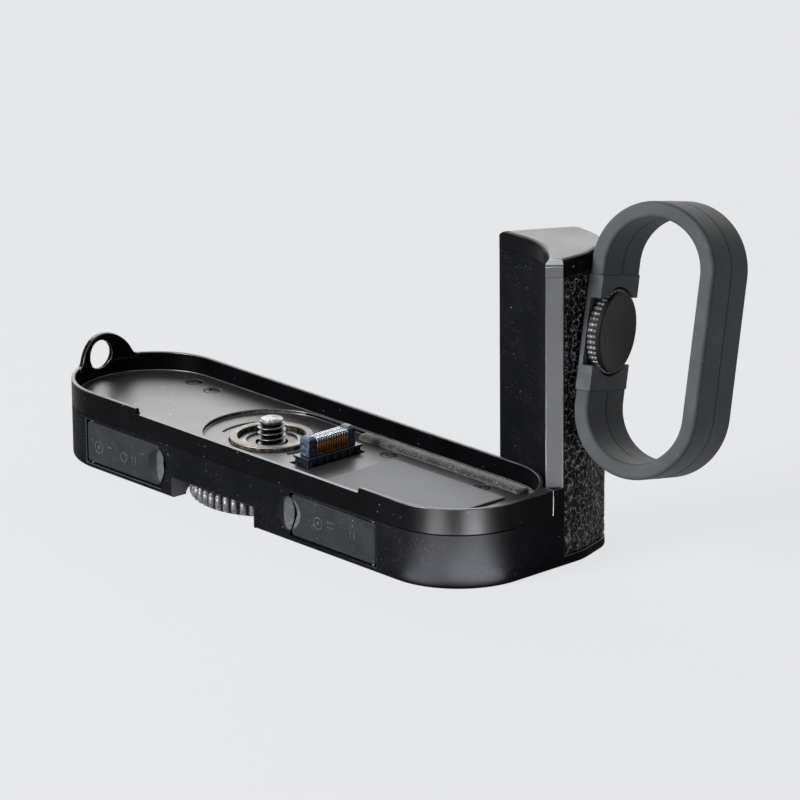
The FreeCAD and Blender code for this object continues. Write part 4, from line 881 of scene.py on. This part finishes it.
def makeLeather(look):
    noise.seed_set(look["seed"])  # noise_vector takes its offsets from here, or else from the clock
    outline = [look["start"]] + list(look["corners"]) + [look["end"]]
    spots, length = roundedPath(outline, look["step"])
    rows = round((look["high"] - look["low"]) / look["step"]) + 1

    def point(i, j):
        here, outward, along = spots[i]
        level = look["low"] + (look["high"] - look["low"]) * j / (rows - 1)
        border = min(along, length - along, level - look["low"], look["high"] - level)
        drop = look["edgeDrop"] * max(0.0, 1 - border / look["edgeRun"]) ** 2
        if border < 1e-6:
            drop = look["borderDrop"]
        depth = look["skin"] + creaseDepth(along, level, look)[0] + drop
        spot = here - outward * min(depth, look["deepest"])
        return (spot.x, spot.y, level)

    count = len(spots)
    mesh = gridMesh("leatherSheet", count, rows, point)
    creases = [creaseDepth(spots[i][2], look["low"] + (look["high"] - look["low"]) * j / (rows - 1), look)[1]
               for j in range(rows) for i in range(count)]
    flank = mesh.attributes.new("flank", "FLOAT", "POINT")
    for j in range(1, rows - 1):
        for i in range(1, count - 1):
            k = j * count + i  # painted highlight: a crease's flank counts where it faces on along the sheet and down, towards the light
            slope = (creases[k + 1] - creases[k - 1]) * 0.6 + (creases[k - count] - creases[k + count]) * 0.8
            flank.data[k].value = max(0.0, slope) * look["flankHighlightGain"]
    work = bmesh.new()
    work.from_mesh(mesh)
    centre = Vector(look["holeCentre"]) * mm
    reach = look["holeRadius"] * mm
    hidden = [face for face in work.faces if (face.calc_center_median() - centre).length < reach]
    bmesh.ops.delete(work, geom=hidden, context="FACES")
    work.to_mesh(mesh)
    work.free()
    facing = sum(face.normal.x for face in mesh.polygons if face.center.x > 79 * mm)
    if facing < 0:
        mesh.flip_normals()
    newPiece("leather_wrap", mesh, "grip_leatherette")
    print("leather faces:", len(mesh.polygons))


makeLeather(leatherLook)


# Camera screw with its quarter-inch thread, the guide ring and the thumbwheel

threadLook = {
    "pitch": 1.27, "crest": 3.16, "root": 2.3, "land": 0.12, "flank": 0.5,  # shares of half a turn
    "low": 9.0, "top": 17.38, "flat": 2.7, "runOut": 16.3, "chamfer": 0.25, "around": 64, "step": 0.06}


def threadRadius(z, turn, look):
    # the stud's radius at a height and a turn: the thread below, a plain chamfered nose above
    share = (z / look["pitch"] - turn / (2 * math.pi)) % 1.0
    distance = abs(share - 0.5) * 2
    flank = min(1.0, max(0.0, (distance - look["land"]) / look["flank"]))
    radius = look["crest"] - (look["crest"] - look["root"]) * flank
    if z > look["runOut"]:
        radius = min(radius, look["flat"])
    if z > look["top"] - look["chamfer"]:
        radius = min(radius, look["flat"] - (z - look["top"] + look["chamfer"]) * 0.8)
    return radius


def makeCameraScrew(look):
    mesh = mergedMesh("camera_screw")
    work = bmesh.new()
    work.from_mesh(mesh)
    stud = [face for face in work.faces if face.calc_center_median().z > look["low"] * mm + 0.02 * mm]
    bmesh.ops.delete(work, geom=stud, context="FACES")
    work.to_mesh(mesh)
    work.free()
    rows = round((look["top"] - look["low"]) / look["step"]) + 1

    def point(i, j):
        turn = 2 * math.pi * i / look["around"]
        z = look["low"] + (look["top"] - look["low"]) * min(j, rows - 1) / (rows - 1)
        radius = 0.0 if j == rows else threadRadius(z, turn, look)
        return (radius * math.cos(turn), radius * math.sin(turn), z)

    thread = gridMesh("threadSkin", look["around"], rows + 1, point, closed=True)
    closeAndTurnOut(thread)
    # painted shade: each point's share of the way out from root to crest darkens the roots; the plain nose
    # counts as crest
    crest = thread.attributes.new("crest", "FLOAT", "POINT")
    for vert, value in zip(thread.vertices, crest.data):
        share = (math.hypot(vert.co.x, vert.co.y) / mm - look["root"]) / (look["crest"] - look["root"])
        value.value = 1.0 if vert.co.z > (look["top"] - 1.0) * mm else share
    thread.materials.append(extras["thread"])
    hardenSharp(newPiece("camera_screw_barrel", mesh, "camera_screw"), 40)
    hardenSharp(newPiece("camera_screw_thread", thread, "camera_screw"), 60)


makeCameraScrew(threadLook)


def makeRing():
    piece = cleanCopy("guide_ring", 0.1)
    piece.data.materials.append(extras["dustyWall"])
    paintFaces(piece.data, 1, lambda n, p: abs(n.z) < 0.5)


makeRing()

wheelLook = {"count": 52, "radius": 17.72, "bar": 0.76, "length": 2.3, "middle": 2.4, "core": 17.6}


def makeWheel(look):
    # the plain disc with its ridges cut away, and round-ended bars set round it
    mesh = mergedMesh("thumbwheel")
    work = bmesh.new()
    work.from_mesh(mesh)
    for vert in work.verts:
        reach = math.hypot(vert.co.x, vert.co.y)
        if reach > look["core"] * mm:
            share = look["core"] * mm / reach
            vert.co.x *= share
            vert.co.y *= share
    bmesh.ops.remove_doubles(work, verts=work.verts, dist=0.02 * mm)
    bmesh.ops.dissolve_degenerate(work, edges=work.edges, dist=0.005 * mm)
    work.to_mesh(mesh)
    work.free()
    disc = newPiece("wheel_disc", mesh, "thumbwheel")
    hardenSharp(disc, 30)
    bars = ridgeRing("wheelRidges", {"Count": look["count"], "Ring Radius": look["radius"] * mm,
                                     "Bar Radius": look["bar"] * mm, "Bar Length": look["length"] * mm},
                     extras["wornRidge"])
    bars.transform(Matrix.Translation((0, 0, look["middle"] * mm)))
    newPiece("wheel_ridges", bars, "thumbwheel")


makeWheel(wheelLook)
print("screw and wheel made")


# Light seal: a soft flocked strip with a rounded near edge

sealLook = {
    "left": 14.0, "right": 66.0, "far": 16.24, "width": 2.86, "low": 12.71, "height": 1.17, "slant": 1.0,
    "endCentre": (61.49, -0.5), "radius": 16.74,  # past it the far side follows the tray's round wall
    "ripple": 0.07, "columns": 260,
    # the section as shares of the width and the height, rounded towards the tray's middle
    "section": ((0.0, 0.0), (0.0, 0.35), (0.03, 0.62), (0.12, 0.84), (0.28, 0.97), (0.5, 1.0), (0.75, 0.99),
                (0.94, 0.93), (1.0, 0.75), (1.0, 0.0), (0.0, 0.0))}


def makeSeal(look):
    columns, centre = look["columns"], look["endCentre"]

    def point(i, j):
        share = i / (columns - 1)
        depth, rise = look["section"][j]
        near = look["far"] - look["width"]
        x = look["left"] + (look["right"] - look["slant"] * (1 - depth) - look["left"]) * share
        far = look["far"]
        if x > centre[0]:
            far = centre[1] + math.sqrt(look["radius"] ** 2 - (x - centre[0]) ** 2)
        y = near + (far - near) * depth
        wobble = noise.noise(Vector((x * 2.1, y * 2.1, rise * 3))) * look["ripple"]
        wobble += noise.noise(Vector((x * 6.0, y * 6.0, rise * 9))) * look["ripple"] * 0.6
        top = rise * (1 - 0.07) + (wobble if rise > 0.3 else 0)
        sway = (wobble * 0.5 if depth < 0.3 else 0) + 0.04 * (1 - depth)
        return (x, y + sway, look["low"] + look["height"] * top)

    mesh = gridMesh("sealStrip", columns, len(look["section"]), point)
    work = bmesh.new()
    work.from_mesh(mesh)
    bmesh.ops.remove_doubles(work, verts=work.verts, dist=0.001 * mm)
    bmesh.ops.holes_fill(work, edges=[edge for edge in work.edges if edge.is_boundary], sides=0)
    bmesh.ops.recalc_face_normals(work, faces=work.faces)
    work.to_mesh(mesh)
    work.free()
    newPiece("seal_strip", mesh, "light_seal")


makeSeal(sealLook)


# Plate, connector and contacts on the tray floor

cleanCopy("floor_plate", 0.06)

plugLook = {
    "x": 18.3, "y": 0.4, "baseHalf": 2.55, "baseLength": 16.0,
    "baseLow": 10.65, "ledge": 14.0, "baseTop": 14.48, "footInset": (0.35, 0.3),
    "ribs": 7, "ribWidth": 0.9, "ribHalf": 1.6, "ribLevel": 12.35, "ribMargin": 1.2,
    "pins": 13, "pitch": 0.72, "pinWidth": 0.4, "pinLevel": 16.3, "bodyHalf": 1.5, "pinGap": 0.1,
    # each strip of a contact across and up, seen from its end and counted from the pin's own place
    "leg": (-0.1, 0.1, -1.75, 1.45), "foot": (-0.1, 0.16, -1.75, -1.5),
    "tipSide": (-0.12, 0.12, 0.9, 2.1), "tipTop": (-1.5, 0.12, 1.9, 2.1),
    "baseEdge": 0.08, "bodyEdge": 0.1}


def boxMesh(name, low, high):
    work = bmesh.new()
    bmesh.ops.create_cube(work, size=1.0)
    for vert in work.verts:
        for axis in range(3):
            vert.co[axis] = (low[axis] if vert.co[axis] < 0 else high[axis]) * mm
    mesh = bpy.data.meshes.new(name)
    work.to_mesh(mesh)
    work.free()
    return mesh


def makeConnector(look):
    # moulded base with a ledge and ribs, the upright body, and the sprung contacts over its top
    x, y = look["x"], look["y"]
    half, end = look["baseHalf"], look["baseLength"] / 2
    inX, inY = look["footInset"]
    base = [boxMesh("baseFoot", (x - half + inX, y - end + inY, look["baseLow"]),
                    (x + half - inX, y + end - inY, look["ledge"])),
            boxMesh("baseLedge", (x - half, y - end, look["ledge"]), (x + half, y + end, look["baseTop"]))]
    thick = look["ribWidth"] / 2
    rib = boxMesh("ribShape", (-thick, -thick, -look["ribHalf"]), (thick, thick, look["ribHalf"]))
    spots = []
    for n in range(look["ribs"]):
        run = look["baseLength"] - 2 * look["ribMargin"]
        along = y - end + look["ribMargin"] + run * n / (look["ribs"] - 1)
        for side in (-1, 1):
            spots.append((x + side * (half - thick), along, look["ribLevel"]))
    ribs = setOnPoints("baseRibs", spots, rib, extras["connectorBase"])
    mesh = joinMeshes("connectorBaseMesh", base + [ribs])
    mesh.materials.append(extras["connectorBase"])
    piece = newPiece("connector_foot", mesh, "connector_base")
    roundEdges(piece, look["baseEdge"])
    cleanCopy("connector_body", look["bodyEdge"])
    wide = look["pinWidth"] / 2

    def strip(label):
        left, right, low, high = look[label]
        return boxMesh(label, (left, -wide, low), (right, wide, high))

    pin = joinMeshes("pinShape", [strip("leg"), strip("foot")])
    tip = joinMeshes("tipShape", [strip("tipSide"), strip("tipTop")])
    legs, tips = [], []
    reach = look["bodyHalf"] + look["pinGap"]
    for n in range(look["pins"]):
        along = y + look["pitch"] * (n - (look["pins"] - 1) / 2)
        for side in (-1, 1):
            legs.append((x + side * reach, along, look["pinLevel"]))
        tips.append((x + reach, along, look["pinLevel"]))
    legMesh = setOnPoints("contactLegs", legs, pin, finishes["contact_gold"])
    rightTips = setOnPoints("contactTips", tips, tip, extras["pinTips"])
    newPiece("contact_legs", legMesh, "connector_pins")
    leftTips = rightTips.copy()
    leftTips.transform(Matrix.Translation((x * mm, 0, 0)) @ Matrix.Scale(-1, 4, (1, 0, 0))
                       @ Matrix.Translation((-x * mm, 0, 0)))
    leftTips.flip_normals()
    tipsMesh = joinMeshes("contactTipsMesh", [rightTips, leftTips])
    tipsMesh.materials.append(extras["pinTips"])
    newPiece("contact_tips", tipsMesh, "connector_pins")


makeConnector(plugLook)


# Cross-head screws, one shape set on each place

screwLook = {
    "places": ((-40.60, 12.0, 13.6), (-33.0, 10.9, 13.6), (26.4, 11.2, 12.7), (56.5, 11.2, 12.7),
               (70.6, -7.0, 12.7)),
    "rings": (0.0, 0.18, 0.34, 0.5, 0.7, 0.9, 1.1, 1.3, 1.5, 1.64), "radius": 1.72, "around": 48,
    "head": 0.33, "dome": 0.05, "sink": 0.3, "shank": 0.8, "length": 4.1,
    "cross": 0.9, "crossWidth": 0.17, "crossDepth": 0.26,
}


def screwShape(look):
    # low domed head with a cross recess: rings of points whose height dips along the two slots
    around = look["around"]
    radii = look["rings"] + (look["radius"], look["radius"])

    def point(i, j):
        turn = 2 * math.pi * i / around
        if j >= len(radii):
            return (look["shank"] * math.cos(turn), look["shank"] * math.sin(turn),
                    -look["sink"] if j == len(radii) else -look["length"])
        radius = radii[j]
        px, py = radius * math.cos(turn), radius * math.sin(turn)
        top = look["head"] - look["sink"] - look["dome"] * (radius / look["radius"]) ** 4
        arm = min(abs(px), abs(py)) < look["crossWidth"] and max(abs(px), abs(py)) < look["cross"]
        if j == len(radii) - 1:
            return (px, py, -look["sink"])
        return (px, py, top - (look["crossDepth"] if arm else 0))

    mesh = gridMesh("screwShape", around, len(radii) + 2, point, closed=True)
    closeAndTurnOut(mesh)
    return mesh


traySet = setOnPoints("trayScrewSet", screwLook["places"], screwShape(screwLook), finishes["black_screw"])
hardenSharp(newPiece("tray_screw_set", traySet, "tray_screws"), 30)
print("tray fittings made")


# Rubber covers with moulded marks

coverLook = {
    "face": -18.56, "rise": 0.09, "around": 40, "line": 0.16, "dot": 0.26, "dotLine": 0.24, "edge": 0.14,
    "notchReach": 4.4, "notchClear": 4.3,
    # rings as x, z and radius, bars as x, z, width and height; the first ring has a dot in it
    "left": {"notch": -16.9, "rings": ((-38.0, 5.6, 1.35), (-29.3, 5.4, 1.05)),
             "bars": ((-34.0, 6.4, 1.5, 0.3), (-26.2, 5.4, 0.3, 2.2), (-25.2, 5.4, 0.3, 2.2))},
    "right": {"notch": 27.4, "rings": ((36.2, 6.4, 1.3),),
              "bars": ((40.5, 6.4, 2.6, 0.3), (40.5, 7.6, 2.6, 0.3), (46.8, 6.4, 0.3, 1.8),
                       (48.0, 6.4, 0.3, 1.8))},
}


def raisedRing(x, z, radius, look, width):
    # a low ridge with sloping sides that rises from the cover's face
    def point(i, j):
        turn = 2 * math.pi * i / look["around"]
        reach = radius + (-width, -width * 0.6, width * 0.6, width)[j]
        rise = (0, look["rise"], look["rise"], 0)[j]
        return (x + reach * math.cos(turn), look["face"] + 0.02 - rise, z + reach * math.sin(turn))

    return gridMesh("raisedRing", look["around"], 4, point, closed=True)


def makeCover(side, look):
    node = side + "_flap"
    marks = look[side]
    notch = marks["notch"]
    mesh = mergedMesh(node)
    piece = newPiece("dressed_" + node, mesh, node)
    mesh.materials.append(extras[side + "Notch"])
    mesh.materials.append(extras["marksAndEdgeHighlight"])
    # painted light: the notch's hollow takes its pale oval
    paintFaces(mesh, 1, lambda n, p: isNotch(n, p, notch, look["notchReach"]))
    # painted highlight: the covers' rounded edges take the paler marks' rubber
    roundEdges(piece, look["edge"], edgeSlot=2,
               chosen=lambda p: p.y < -18
               and math.hypot(p.x - notch, p.z - housingLook["notchLevel"]) > look["notchClear"])
    shapes = [raisedRing(x, z, radius, look, look["line"]) for x, z, radius in marks["rings"]]
    x, z = marks["rings"][0][:2]
    shapes.append(raisedRing(x, z, look["dot"], look, look["dotLine"]))
    for x, z, width, height in marks["bars"]:
        shapes.append(boxMesh("bar", (x - width / 2, look["face"] - look["rise"], z - height / 2),
                              (x + width / 2, look["face"] + 0.05, z + height / 2)))
    mesh = joinMeshes(side + "Marks", shapes)
    work = bmesh.new()
    work.from_mesh(mesh)
    bmesh.ops.recalc_face_normals(work, faces=work.faces)
    work.to_mesh(mesh)
    work.free()
    mesh.materials.append(extras["marksAndEdgeHighlight"])
    newPiece(side + "_cover_marks", mesh, node)


makeCover("left", coverLook)
makeCover("right", coverLook)
print("covers made")


# Finger loop: moulded in two halves, with its insert and the clamping knob

loopLook = {
    # the knob's seat and which way it faces, and the loop's turn at rest
    "centre": (77.538, 25.871, 50.0), "heading": 17.945, "swivel": 14.7,
    "seamDepth": 0.12, "seamWidth": 0.14, "edge": 0.18, "edgeAngle": 38.0, "insertEdge": 0.16,
    "windowHalf": 7.2, "windowSide": (5.0, 9.5), "windowDepth": (1.25, 5.0),
    "knobRadius": 9.2, "knobLow": 1.3, "knobTop": 4.4, "knobHole": 4.3, "knobAround": 96,
    "ridges": 44, "ridge": 0.46, "ridgeInset": 0.45}


def knobFrame(swivel=0.0):
    # along the knob's axis is z, up the column is y
    heading = math.radians(loopLook["heading"] + 90)
    turn = Matrix.Rotation(heading, 4, "Z") @ Matrix.Rotation(math.radians(90), 4, "X")
    tilt = Matrix.Rotation(math.radians(-swivel), 4, "Z")
    return Matrix.Translation(Vector(loopLook["centre"]) * mm) @ turn @ tilt


def makeLoop(look):
    # a fine seam runs round the band half way across its depth
    frameOut = knobFrame(look["swivel"])
    mesh = mergedMesh("finger_loop")
    mesh.transform(frameOut.inverted())
    work = bmesh.new()
    work.from_mesh(mesh)
    for offset in (-look["seamWidth"] / 2, 0.0, look["seamWidth"] / 2):
        geometry = work.verts[:] + work.edges[:] + work.faces[:]
        bmesh.ops.bisect_plane(work, geom=geometry, dist=1e-7,
                               plane_co=(offset * mm, 0, 0), plane_no=(1, 0, 0))
    for vert in [v for v in work.verts if abs(v.co.x) < 0.001 * mm]:
        out = sum((f.normal for f in vert.link_faces if abs(f.normal.x) < 0.3), Vector((0, 0, 0)))
        if out.length > 0:
            vert.co -= out.normalized() * look["seamDepth"] * mm
    work.to_mesh(mesh)
    work.free()
    mesh.transform(frameOut)
    piece = newPiece("dressed_finger_loop", mesh, "finger_loop")
    roundEdges(piece, look["edge"], look["edgeAngle"])


def makeInsert(look):
    # the knob's rim shows through a window in each side of the insert
    frameOut = knobFrame(look["swivel"])
    mesh = mergedMesh("loop_insert")
    piece = newPiece("dressed_loop_insert", mesh, "loop_insert")
    windows = []
    near, far = look["windowDepth"]
    for side in (-1, 1):
        low, high = sorted(side * reach for reach in look["windowSide"])
        windows.append(boxMesh("windowBox", (low, -look["windowHalf"], near),
                               (high, look["windowHalf"], far)))
    cutter = joinMeshes("windowCutter", windows)
    cutter.transform(frameOut)
    cutterPiece = bpy.data.objects.new("windowCutter", cutter)
    bpy.context.scene.collection.objects.link(cutterPiece)
    cut = piece.modifiers.new("Windows", "BOOLEAN")
    cut.object = cutterPiece
    cut.operation = "DIFFERENCE"
    cut.solver = "EXACT"
    graph = bpy.context.evaluated_depsgraph_get()
    graph.update()
    result = bpy.data.meshes.new_from_object(piece.evaluated_get(graph))
    piece.modifiers.remove(cut)
    bpy.data.objects.remove(cutterPiece)
    result.materials.clear()
    result.materials.append(finishes["insert_plastic"])
    piece.data = result
    for face in result.polygons:
        face.use_smooth = True
    roundEdges(piece, look["insertEdge"])


def makeKnob(look):
    # plain matt face with a thin bright rim, over a bright knurled edge
    around, out = look["knobAround"], knobFrame()
    inset = look["ridgeInset"]
    radius = look["knobRadius"] - inset
    top, low = look["knobTop"], look["knobLow"]
    rings = [(0.0, top - 0.1), (radius - 1.2, top - 0.1), (radius - 0.9, top - 0.06), (radius - 0.35, top),
             (radius - 0.1, top - 0.12), (radius, top - 0.35), (radius, low + 0.2), (radius - 0.2, low),
             (look["knobHole"], low)]

    def point(i, j):
        turn = 2 * math.pi * i / around
        return (rings[j][0] * math.cos(turn), rings[j][0] * math.sin(turn), rings[j][1])

    disc = gridMesh("knobDisc", around, len(rings), point, closed=True)
    closeAndTurnOut(disc)
    disc.transform(out)
    hardenSharp(newPiece("knob_disc", disc, "loop_knob"), 35)
    length = top - low - 2 * inset - 2 * look["ridge"]
    # partly painted highlight: the ridges take the pale knurl tone
    bars = ridgeRing("knobRidges",
                     {"Count": look["ridges"], "Ring Radius": (look["knobRadius"] - look["ridge"]) * mm,
                      "Bar Radius": look["ridge"] * mm, "Bar Length": length * mm},
                     extras["brightKnurl"])
    bars.transform(out @ Matrix.Translation((0, 0, (top + low - inset) / 2 * mm)))
    newPiece("knob_ridges", bars, "loop_knob")


makeLoop(loopLook)
makeInsert(loopLook)
makeKnob(loopLook)
print("loop and knob made")


# Camera at the photograph's viewing angle

cameraLook = {"place": (890.94, -769.75, 409.50), "turn": (71.749, 0.489, 47.624), "lens": 251.81,
              "sensor": 36.0, "clip": (0.05, 20.0)}
cameraData = bpy.data.cameras.new("photoCamera")
cameraData.lens = cameraLook["lens"]
cameraData.sensor_width = cameraLook["sensor"]
cameraData.clip_start, cameraData.clip_end = cameraLook["clip"]
camera = bpy.data.objects.new("photoCamera", cameraData)
camera.location = Vector(cameraLook["place"]) * mm
camera.rotation_euler = Euler([math.radians(a) for a in cameraLook["turn"]], "XYZ")
bpy.context.scene.collection.objects.link(camera)
bpy.context.scene.camera = camera


# Pale floor and plain studio light: a broad softbox behind, a square one in front, and two small bright
# cards on the floor whose reflections draw the upright light bands on the black shells' round end

studio = {
    "background": "#e6e7e9", "floorSize": 8.0, "floorDrop": 0.05, "worldLight": 0.10, "floorGlow": 0.92,
    # azimuth and elevation in degrees as seen from the object; distance, width and height in metres
    "softboxes": (
        {"name": "backSoftbox", "azimuth": 139.0, "elevation": 23.0, "distance": 1.3, "size": (2.2, 0.62),
         "power": 12.5},
        {"name": "keySoftbox", "azimuth": -100.0, "elevation": 32.0, "distance": 1.2, "size": (0.5, 0.5),
         "power": 21.0}),
    # middle in millimetres; they light nothing but the gloss of the two shells
    "cardLevel": 0.5, "cardShells": ("dressed_housing", "dressed_tray"),
    "cards": (
        {"name": "leftCard", "middle": (81.7, -52.3), "azimuth": -74.0, "size": (0.072, 0.020),
         "power": 0.42},
        {"name": "rightCard", "middle": (111.9, -24.9), "azimuth": -23.0, "size": (0.072, 0.018),
         "power": 0.62}),
}


def backdropRays(tree):
    # 1 for a ray from the camera, from gloss or through glass, which sees the backdrop as it is drawn
    path = addNode(tree, "ShaderNodeLightPath")
    seen = path.outputs["Is Camera Ray"]
    for label in ("Is Glossy Ray", "Is Transmission Ray"):
        either = addNode(tree, "ShaderNodeMath", {"operation": "MAXIMUM"}, {0: seen, 1: path.outputs[label]})
        seen = either.outputs[0]
    return seen


def floorMaterial(look):
    # such rays see the backdrop's colour, darkened a little where the object shades the floor
    material, tree, shader = newMaterial("paleBackdrop", look["background"], 0.9)
    glow = addNode(tree, "ShaderNodeEmission", {"Color": linear(look["background"]), "Strength": 1.0})
    share = addNode(tree, "ShaderNodeMath", {"operation": "MULTIPLY", 1: look["floorGlow"]},
                    {0: backdropRays(tree)})
    mix = addNode(tree, "ShaderNodeMixShader", None,
                  {0: share.outputs[0], 1: shader.outputs[0], 2: glow.outputs[0]})
    tree.links.new(mix.outputs[0], tree.nodes["Material Output"].inputs["Surface"])
    return material


def makeWorld(look):
    world = bpy.data.worlds.new("studioWorld")
    bpy.context.scene.world = world
    world.use_nodes = True
    tree = world.node_tree
    tree.nodes.clear()
    seen = backdropRays(tree)
    plain = addNode(tree, "ShaderNodeBackground", {"Color": linear(look["background"]), "Strength": 1.0})
    lit = addNode(tree, "ShaderNodeBackground",
                  {"Color": linear(look["background"]), "Strength": look["worldLight"]})
    mix = addNode(tree, "ShaderNodeMixShader", None, {0: seen, 1: lit.outputs[0], 2: plain.outputs[0]})
    addNode(tree, "ShaderNodeOutputWorld", None, {"Surface": mix.outputs[0]})


def addLamp(look, place, turn):
    data = bpy.data.lights.new(look["name"], "AREA")
    data.shape = "RECTANGLE"
    data.size, data.size_y = look["size"]
    data.energy = look["power"]
    lamp = bpy.data.objects.new(look["name"], data)
    lamp.location = place
    lamp.rotation_euler = turn
    lamp.visible_camera = False
    bpy.context.scene.collection.objects.link(lamp)
    return lamp


def makeStudio(look):
    makeWorld(look)
    for box in look["softboxes"]:
        turn, rise = math.radians(box["azimuth"]), math.radians(box["elevation"])
        way = Vector((math.cos(turn) * math.cos(rise), math.sin(turn) * math.cos(rise), math.sin(rise)))
        addLamp(box, way * box["distance"], (-way).to_track_quat("-Z", "Y").to_euler())
    shells = bpy.data.collections.new("cardShells")
    for name in look["cardShells"]:
        shells.objects.link(bpy.data.objects[name])
    for card in look["cards"]:
        lamp = addLamp(card, Vector(card["middle"] + (look["cardLevel"],)) * mm,
                       (math.pi, 0, math.radians(card["azimuth"])))
        lamp.visible_diffuse = False
        lamp.light_linking.receiver_collection = shells
    half = look["floorSize"] / 2
    corners = [(x * half, y * half, -look["floorDrop"] * mm) for x, y in ((-1, -1), (1, -1), (1, 1), (-1, 1))]
    mesh = bpy.data.meshes.new("studioFloor")
    mesh.from_pydata(corners, [], [(0, 1, 2, 3)])
    floor = bpy.data.objects.new("studioFloor", mesh)
    bpy.context.scene.collection.objects.link(floor)
    mesh.materials.append(floorMaterial(look))


makeStudio(studio)
bpy.context.scene.view_settings.view_transform = "Standard"
print("studio made")
